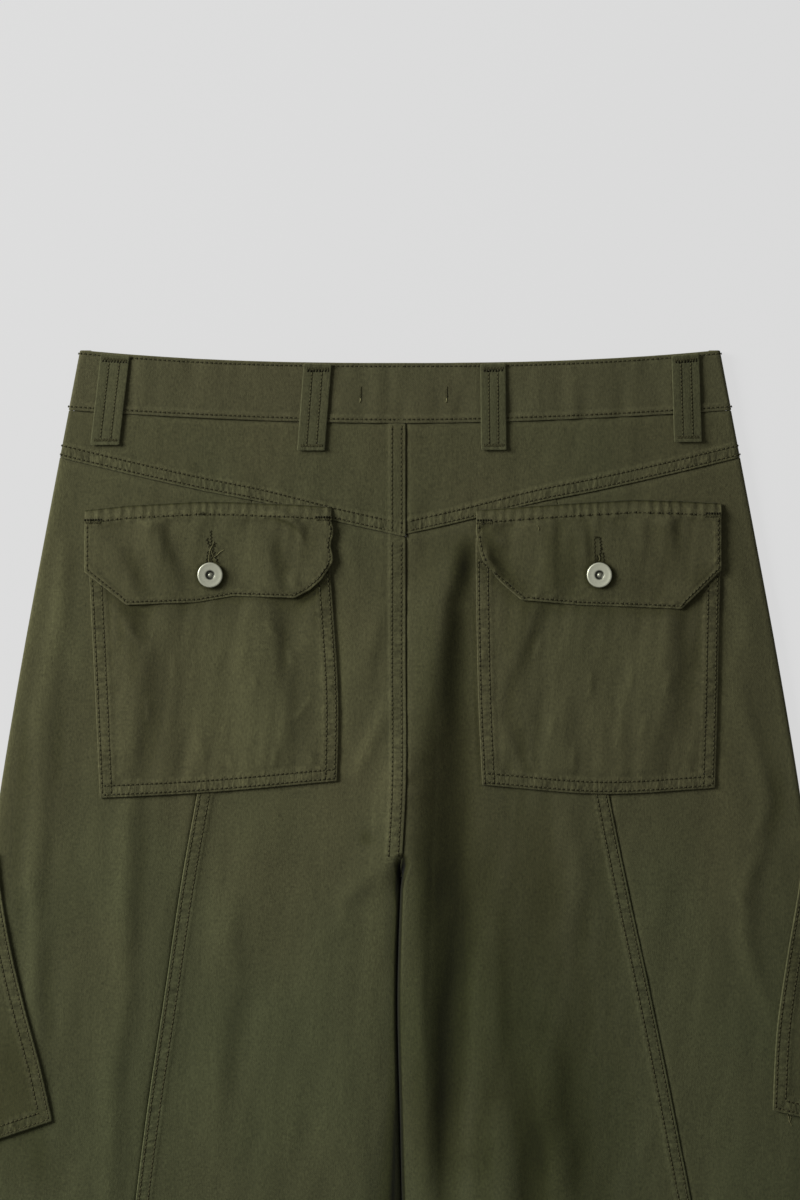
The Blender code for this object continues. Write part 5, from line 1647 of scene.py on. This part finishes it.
def flapOut(name, sign):
    # A slope up from the sewn edge, a lip round the free edges, grooves, bars, waves and folds.
    top, foot, first, last, read = flapPlace(name)

    def outOf(around, depth):
        x = sign * around
        beside, down, away = read(around, depth)
        edge = np.minimum(beside, (foot(around) - depth) * flap["slope"])
        base = flapNear + smoothStep(down, 0.0, flap["climb"]) * (flapFar - flapNear)
        below = smoothStep(down, flap["row"], flap["row"] + 4 * mm)
        quiet = (0.45 + 0.55 * smoothStep(edge, 1.5 * mm, 8 * mm)) * (1.0 - 0.9 * bell(away, 10 * mm))
        rise = 0.30 * mm * (1.0 - smoothStep(edge, 3.4 * mm, 5.2 * mm))
        rise -= 0.14 * mm * bell(edge - flap["edgeRow"], sewing["groove"])
        rise += 0.40 * mm * (1.0 - below) - 0.28 * mm * bell(down - flap["row"], 1.2 * mm)
        sway = 1.6 * latticeNoise(x / (15 * mm), down / (40 * mm) + 9.0, 81)
        bars = np.sin(2 * math.pi * x / flap["barPitch"] + 2 * sway)
        bars = bars * (0.6 + 0.4 * latticeNoise(x / (11 * mm), 3.5, 84))
        rise += flap["barHigh"] * bars * (1.0 - below)
        fading = 1.0 - 0.55 * smoothStep(down, flap["row"], 40 * mm)
        rise += flap["wave"] * wrinkles(x, depth, *flap["waveSize"], 82) * below * fading * quiet
        rise += foldRise(x, depth, flapFolds[name]) * below * quiet
        rise += blobRise(x, depth, flapBlobs[name])
        rise += puckers(around + depth, edge - 3 * mm, 3.6, 5, 0.28, 83)
        rise -= flap["dip"] * bell(np.maximum(edge, 0.0), 4 * mm)
        if name == "left":
            rise += curvedCrease(x, depth, *cornerCrease["form"])
        return base + np.maximum(rise, -0.55 * mm)
    return outOf


def flapWave(name, around, depth):
    # Each flap's edge beside the seat seam waves in and out; further in, the cloth follows less.
    wave = np.interp(depth / mm, *zip(*flapEdge[name])) * mm
    return around + wave * (1.0 - smoothStep(around, 0.050, 0.074))


def makeBackFlap(name, sign):
    # A grid between the flap's upper and lower lines, with a stop at each of its corners.
    out = flapOut(name, sign)
    top, foot, first, last, read = flapPlace(name)
    inset = flap["thick"] / 2
    acrosses = [first + inset, *flapLines[name]["across"][1:-1], last - inset]
    stops = [lambda d, at=at: at + 0.0 * d for at in acrosses]
    counts = [max(2, round((b - a) / flap["stepAcross"])) for a, b in zip(acrosses[:-1], acrosses[1:])]
    around, depth = spread(even(flap["rows"]), stopPlaces(counts), stops, lambda a: top(a) + inset,
                           lambda a: foot(a) - inset)
    around = flapWave(name, around, depth)

    def seamOf(around, depth):
        beside, down, away = read(around, depth)
        edge = np.minimum(beside, foot(around) - depth)
        return np.stack([around, np.minimum(edge + 6 * mm, down), 0.8 * np.ones(edge.shape)], axis=-1)

    def toneOf(around, depth):
        # The folds' painted light and shade, a painted shadow along the sewn edge and round the button, and a
        # pale lip at the free edge.
        beside, down, away = read(around, depth)
        edge = np.minimum(beside, (foot(around) - depth) * flap["slope"])
        tone = foldRise(sign * around, depth, flapShading[name]) / mm
        tone += flap["topEdgeShadow"] * (1.0 - smoothStep(down, 0.5 * mm, 1.3 * mm))
        tone += flap["buttonShadowRing"] * bell(away - 8.8 * mm, 1.3 * mm)
        if name == "left":
            tone += curvedCrease(sign * around, depth, *cornerCrease["tone"])
        lip = flap["lip"] * (1.0 - smoothStep(edge, 0.9 * mm, 1.6 * mm))
        return tone + lip * smoothStep(down, 1.0 * mm, 3.0 * mm)

    piece = clothPiece("back_flap_" + name, sign, around, depth, out, flap["thick"], "pocket_cloth", seamOf,
                       toneOf, skip=2)
    along = np.linspace(first + 1 * mm, last - 1 * mm, 300)
    rows = [rowOfStitches(sign, along, top(along) + flap["row"], out)]
    edge = flap["edgeRow"]
    down = np.linspace(top(first) + flap["row"], foot(first) - 0.6 * edge, 60)
    rows.append(rowOfStitches(sign, flapWave(name, np.full(60, first + edge), down), down, out))
    down = np.linspace(top(last) + flap["row"], foot(last) - 0.6 * edge, 60)
    rows.append(rowOfStitches(sign, np.full(60, last - edge), down, out))
    slope = np.hypot(1.0, np.gradient(foot(along), along))
    rows.append(rowOfStitches(sign, along, foot(along) - edge * slope, out))
    for place in (first + 5.5 * mm, last - 5.5 * mm):
        rows.append(barTack(sign, place, top(place) + flap["row"] + 0.4 * mm, out, 9.5 * mm, 2.6 * mm))
    stitches = sewOn("back_flap_" + name + "_stitches", rows, "pocket_cloth")
    threads = threadAlong("back_flap_" + name + "_threads", sign, flapThreads[name], out, "pocket_cloth")


cargo = dict(topStart=0.326, topSlope=0.26, frontDepth=0.370, rows=(1.9 * mm, 7.8 * mm), rowTop=0.350,
             rowFoot=0.500, rowEnd=0.279, wide=9.2 * mm, thick=0.35 * mm, slope=0.95,
             columns=[34, foldSteps, 12], down=96, flat=(0.150, 0.190), area=0.0222)
# Loose threads under the right cargo pocket's hem, as on the flaps.
cargoThreads = [
    [(251, 495, 0.3, 2.6), (252.6, 498.5, 0.2, 3), (253, 501.5, 0.1, 3), (255, 504.5, 0.1, 2.8)],
    [(253.5, 496, 0.3, 2.4), (254.2, 499, 0.2, 2.8), (253.2, 501.8, 0.1, 2.6)],
]
cargoFront = {"left": dict(start=0.4285, slope=-0.205), "right": dict(start=0.4285, slope=-0.124)}
cargoFoot = {"left": dict(start=0.501, slope=0.34), "right": dict(start=0.494, slope=0.24)}
cargoBack = dict(
    left=dict(
        depth=[0.326, 0.352, 0.39, 0.431, 0.47, 0.501, 0.6],
        across=[0.2625, 0.2595, 0.2529, 0.2431, 0.2327, 0.2259, 0.206],
    ),
    right=dict(
        depth=[0.326, 0.354, 0.39, 0.441, 0.494, 0.6],
        across=[0.2625, 0.2587, 0.2525, 0.2451, 0.2421, 0.236],
    ),
)


def cargoEdges(name):
    # The pocket's back edge, its foot, and for a place its distances from both.
    back = smoothLine(cargoBack[name], "depth", "across")
    line = cargoFoot[name]

    def foot(around):
        return line["start"] + line["slope"] * np.maximum(around - back(line["start"]), 0.0)

    return back, foot, lambda a, d: (a - back(d), foot(a) - d)


def cargoOut(name, sign):
    # Turned edges behind and below, puckers along them, and soft wrinkles.
    back, foot, asidesOf = cargoEdges(name)

    def outOf(around, depth):
        aside, down = asidesOf(around, depth)
        edge = np.minimum(aside, down * cargo["slope"])
        along = np.where(down < aside, around, depth)
        rise = hemmedEdges([aside, down * cargo["slope"]], cargo["rows"], cargo["wide"], cargo["thick"])
        rise += puckers(along, edge - 4 * mm, 5.5, 9, 0.16, 91)
        rise += 0.35 * mm * wrinkles(around, depth, 0.016, 0.050, 92)
        return stackGap + underWall + rise * onTop(around, depth)
    return outOf


def makeCargoPocket(name, sign):
    # From the back edge round the outer fold to the underside, where its front edge slopes.
    out = cargoOut(name, sign)
    back, foot, asidesOf = cargoEdges(name)
    line = cargoFront[name]
    inset = underWall / 2
    stops = [lambda d: back(d) + inset, foldStart, underEdge,
             lambda d: line["start"] + line["slope"] * (d - cargo["frontDepth"]) - inset]

    def upper(around):
        start = cargo["topStart"]
        return start + inset + cargo["topSlope"] * np.maximum(around - back(start), 0.0)

    def seamOf(around, depth):
        aside, down = asidesOf(around, depth)
        return ladderAt([aside, down * cargo["slope"]], [depth, around], onTop(around, depth))

    around, depth = spread(even(cargo["down"]), stopPlaces(cargo["columns"]), stops, upper,
                           lambda a: foot(a) - inset)
    piece = clothPiece("cargo_pocket_" + name, sign, around, depth, out, underWall, "pocket_cloth", seamOf,
                       lambda a, d: legShading(sign * a, d))
    rows = []
    corner = back(cargo["rowFoot"])
    for row in cargo["rows"]:
        rows.append(rowDown(sign, out, back, row * 1.03, cargo["rowTop"], foot(corner) - row, 300))
        rows.append(rowAcross(sign, out, foot, -row * 1.05, corner + row, cargo["rowEnd"], 200))
    sewn = [sewOn("cargo_pocket_" + name + "_stitches", rows, "pocket_cloth")]
    if sign > 0:
        below = sideOut(name, sign)
        sewn.append(threadAlong("cargo_pocket_right_threads", sign, cargoThreads, below, "pocket_cloth"))


# "Row" and "rowWide" are shares of a loop's width, "tack" a share of its length.
loops = dict(inset=0.8 * mm, arch=0.25 * mm, thick=1.15 * mm, down=46, across=22, ends=(0.012, 0.988),
             row=0.17, rowWide=0.055, tack=0.055, tackHalf=0.38, tackPitch=0.95 * mm, frontDown=20,
             frontAcross=12, flat=(0.019, 0.063), frontFlat=(0.019, 0.070))
backLoops = [
    dict(name="belt_loop_back_1", top=-0.1850, foot=-0.1918, width=0.0198, end=0.0620),
    dict(name="belt_loop_back_2", top=-0.0535, foot=-0.0578, width=0.0190, end=0.0655),
    dict(name="belt_loop_back_3", top=0.0605, foot=0.0610, width=0.0175, end=0.0652),
    dict(name="belt_loop_back_4", top=0.1855, foot=0.1872, width=0.0190, end=0.0600),
]
frontLoops = [
    dict(name="belt_loop_front_left", top=-0.1120, foot=-0.1150, width=0.0190, end=0.0700),
    dict(name="belt_loop_front_right", top=0.1120, foot=0.1150, width=0.0190, end=0.0700),
]


def loopPlace(loop, share, place, waist):
    # Share runs down the loop and place across it, from minus to plus a half.
    sign = 1 if loop["top"] > 0 else -1
    x = loop["top"] + share * (loop["foot"] - loop["top"]) + place * loop["width"] * sign
    start = waist(x * sign) + loops["inset"]
    return x * sign, start + share * (loop["end"] - start)


def twoRows(place):
    # Bells at a third and two thirds of a loop's width.
    return bell(place - loops["row"], loops["rowWide"]) + bell(place + loops["row"], loops["rowWide"])


def loopOut(share, place, seed):
    # Two rows of stitches pull grooves, and the turned-under ends stand thicker.
    arch = loops["arch"] * np.sin(math.pi * share)
    rise = -0.16 * mm * twoRows(place)
    ends = 0.55 * mm * (bell(share - 1.0, 0.075) + bell(share, 0.055))
    tacks = -0.22 * mm * (bell(share - 0.94, 0.025) + bell(share - 0.06, 0.025))
    wave = 0.16 * mm * latticeNoise(place * 3.0 + 4.0, share * 7.0 + 2.0, seed)
    return bandProud + stackGap + loops["thick"] + arch + rise + ends + tacks + wave


def loopPoints(loop, share, place, seed):
    # A loop's places on the band, carried out by its height.
    around, depth = loopPlace(loop, share, place, backWaist)
    return skin(1 if loop["top"] > 0 else -1, around, depth, loopOut(share, place, seed))


def loopRow(loop, share, place, seed, pitch):
    # A row of stitches on a loop, one pitch apart.
    points = loopPoints(loop, share, place, seed)
    at = np.arange(pitch / 2, distances(points)[-1], pitch)
    return stitchesAt(at, points, np.tile([0.0, 0.0, 1.0], (len(points), 1)), 0.2 * mm, 0.8)


def makeBackLoop(loop, seed):
    # A narrow strip with two rows of stitches along it and a tack across either end.
    sign = 1 if loop["top"] > 0 else -1
    side = 0.5 - loopWall / 2 / loop["width"]
    share, place = np.meshgrid(np.linspace(*loops["ends"], loops["down"]),
                               np.linspace(-side, side, loops["across"]), indexing="ij")
    points = loopPoints(loop, share, place, seed)
    wear = standing(points, rounds=3)
    piece = clothShell(loop["name"] + "_cloth", points, loops["thick"], sign, wear, noSeam(wear.shape),
                       "loop_cloth", skip=4)
    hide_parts(loop["name"])
    down = np.linspace(0.05, 0.95, 120)
    pitch = sewing["pitch"] * 0.8
    rows = [loopRow(loop, down, np.full(120, row), seed, pitch) for row in (-loops["row"], loops["row"])]
    at = np.linspace(-loops["tackHalf"], loops["tackHalf"], 24)
    for end in (loops["tack"], 1.0 - loops["tack"]):
        centres, ways, ups, lengths, tones = loopRow(loop, np.full(24, end), at, seed, loops["tackPitch"])
        rows.append((centres, leaning(len(centres), -1.0), ups, lengths * 1.4, tones * 0.75))
    stitches = sewOn(loop["name"] + "_stitches", rows, "loop_cloth")


def makeFrontLoop(loop):
    # The front pair lies flat on the floor, under the front.
    sign = 1 if loop["top"] > 0 else -1
    side = 0.5 - underWall / 2 / loop["width"]
    share, place = np.meshgrid(np.linspace(*loops["ends"], loops["frontDown"]),
                               np.linspace(side, -side, loops["frontAcross"]), indexing="ij")
    around, depth = loopPlace(loop, share, place, frontWaist)
    points = np.stack([sign * around, length / 2 - depth, 0.2 * mm * twoRows(place)], axis=-1)
    flat = np.zeros(share.shape)
    piece = clothShell(loop["name"] + "_cloth", points, underWall, sign, flat, noSeam(flat.shape),
                       "loop_cloth", skip=3)
    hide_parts(loop["name"])


buttons = dict(steps=72, left=dict(across=0.1232, depth=0.1463, tilt=(-0.10, 0.04)),
               right=dict(across=0.1294, depth=0.1463, tilt=(0.02, 0.02)))
# The button's profile in millimetres, from the middle of its face over the rim to the middle of its back.
buttonProfile = [
    (0, 1.35), (0.7, 1.32), (1, 1.1), (1.3, 0.85), (1.9, 0.8), (2.25, 0.9), (2.5, 1.45), (2.8, 1.92),
    (3.3, 2.1), (4.4, 2.06), (5.6, 2.08), (6.5, 2.16), (7.1, 2.26), (7.6, 2.28), (7.95, 2.12), (8.15, 1.7),
    (8.2, 1.05), (8.05, 0.55), (7.6, 0.15), (7, 0), (0, 0),
]
waistButton = dict(x=0.016, depth=0.0415, high=underWall, flapHigh=2.34)


def turnedDisc(name, profile, place, tilt, faceDown):
    # The profile turned round the upright axis: radius times cosine and sine; its end points are the poles.
    table = np.array(profile) * mm
    radii, heights = table[1:-1].T
    count = buttons["steps"]
    turn = np.linspace(0.0, 2 * math.pi, count, endpoint=False)
    x, y = np.outer(radii, np.cos(turn)).ravel(), np.outer(radii, np.sin(turn)).ravel()
    rings = np.stack([x, y, np.repeat(heights, count)], axis=-1)
    verts = np.concatenate([rings, [[0, 0, table[0, 1]], [0, 0, table[-1, 1]]]])
    verts[:, 2] += tilt[0] * verts[:, 0] + tilt[1] * verts[:, 1] + abs(tilt[0]) * 8 * mm
    if faceDown:
        verts = verts * np.array([1.0, -1.0, -1.0])
    faces = [face[::-1] for part in closedTube(0, len(radii), count) for face in part.tolist()]
    away = np.concatenate([np.repeat(radii, count), [0.0, 0.0]])
    return newPiece(name, verts + np.array(place), faces, "button_metal", rings=away)


def makeFlapButton(name, sign):
    # The disc seated a little above its flap, with its own tilt.
    spot = buttons[name]
    seat = skin(sign, np.array(spot["across"]), np.array(spot["depth"]), flapFar + 1.3 * stackGap)
    piece = turnedDisc("back_button_" + name + "_metal", buttonProfile, seat, spot["tilt"], False)
    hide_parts("back_button_" + name)


def makeWaistButton():
    # The same profile made lower, face down under the front.
    share = waistButton["high"] / (waistButton["flapHigh"] * mm)
    profile = [(radius, height * share) for radius, height in buttonProfile]
    place = (waistButton["x"], length / 2 - waistButton["depth"], waistButton["high"])
    piece = turnedDisc("waist_button_metal", profile, place, (0.0, 0.0), True)
    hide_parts("waist_button")


makeWaistband()
print("waistband made")
for name, sign in sides:
    makeYoke(name, sign)
    makeBackCenter(name, sign)
    makeBackSide(name, sign)
    makeFront(name, sign)
    print("leg panels made:", name)
for name, sign in sides:
    makeBackPocket(name, sign)
    makeBackFlap(name, sign)
    makeFlapButton(name, sign)
    makeCargoPocket(name, sign)
    print("pockets made:", name)
for seed, loop in enumerate(backLoops):
    makeBackLoop(loop, 101 + seed)
for loop in frontLoops:
    makeFrontLoop(loop)
makeWaistButton()
print("belt loops and buttons made")


studio = dict(floorColor=(0.08, 0.08, 0.08), floorGlow=0.655, floorHalf=30.0, floorDrop=0.0003,
              keyPlace=(-2.45, 1.33, 1.34), keyAim=(0.05, 0.20, 0.0), keySize=1.5, keyWatts=109.0, fill=0.17,
              cameraHeight=3.0, topHigh=7 * mm, frameMiddle=0.3575, frameHigh=0.780, filmHigh=36.0)


def makeFloor():
    # A pale floor, just below the part.
    half, low = studio["floorHalf"], -studio["floorDrop"]
    mesh = bpy.data.meshes.new("floor")
    corners = [(-half, -half, low), (half, -half, low), (half, half, low), (-half, half, low)]
    mesh.from_pydata(corners, [], [(0, 1, 2, 3)])
    floor = bpy.data.objects.new("floor", mesh)
    bpy.context.scene.collection.objects.link(floor)
    material, tree, shader, position = startMaterial("paleFloor")
    feed(tree, shader, {
        "Base Color": (*studio["floorColor"], 1.0),
        "Roughness": 1.0,
        "Specular IOR Level": 0.0,
        "Emission Color": (1.0, 1.0, 1.0, 1.0),
        "Emission Strength": studio["floorGlow"],
    })
    mesh.materials.append(material)


def makeLights():
    # One big soft disc from the upper left, and an even room light.
    light = bpy.data.lights.new("softKey", "AREA")
    light.shape = "DISK"
    light.size = studio["keySize"]
    light.energy = studio["keyWatts"]
    lamp = bpy.data.objects.new("softKey", light)
    lamp.location = studio["keyPlace"]
    aim = Vector(studio["keyAim"]) - Vector(studio["keyPlace"])
    lamp.rotation_euler = aim.to_track_quat("-Z", "Y").to_euler()
    bpy.context.scene.collection.objects.link(lamp)

    world = bpy.data.worlds.new("softRoom")
    world.use_nodes = True
    tree = world.node_tree
    sky = tree.nodes["Background"]
    sky.inputs["Color"].default_value = (1.0, 1.0, 1.0, 1.0)
    sky.inputs["Strength"].default_value = studio["fill"]
    bpy.context.scene.world = world


def makeCamera():
    # Straight above the seat, with the waist near the top of the frame.
    data = bpy.data.cameras.new("camera")
    data.sensor_width = studio["filmHigh"]
    data.lens = studio["filmHigh"] * studio["cameraHeight"] / studio["frameHigh"]
    data.clip_start = 0.05
    data.clip_end = 100.0
    camera = bpy.data.objects.new("camera", data)
    camera.location = (0.0, studio["frameMiddle"], studio["cameraHeight"] + studio["topHigh"])
    bpy.context.scene.collection.objects.link(camera)
    bpy.context.scene.camera = camera


makeFloor()
makeLights()
makeCamera()
bpy.context.scene.view_settings.view_transform = "Standard"
print("studio made")
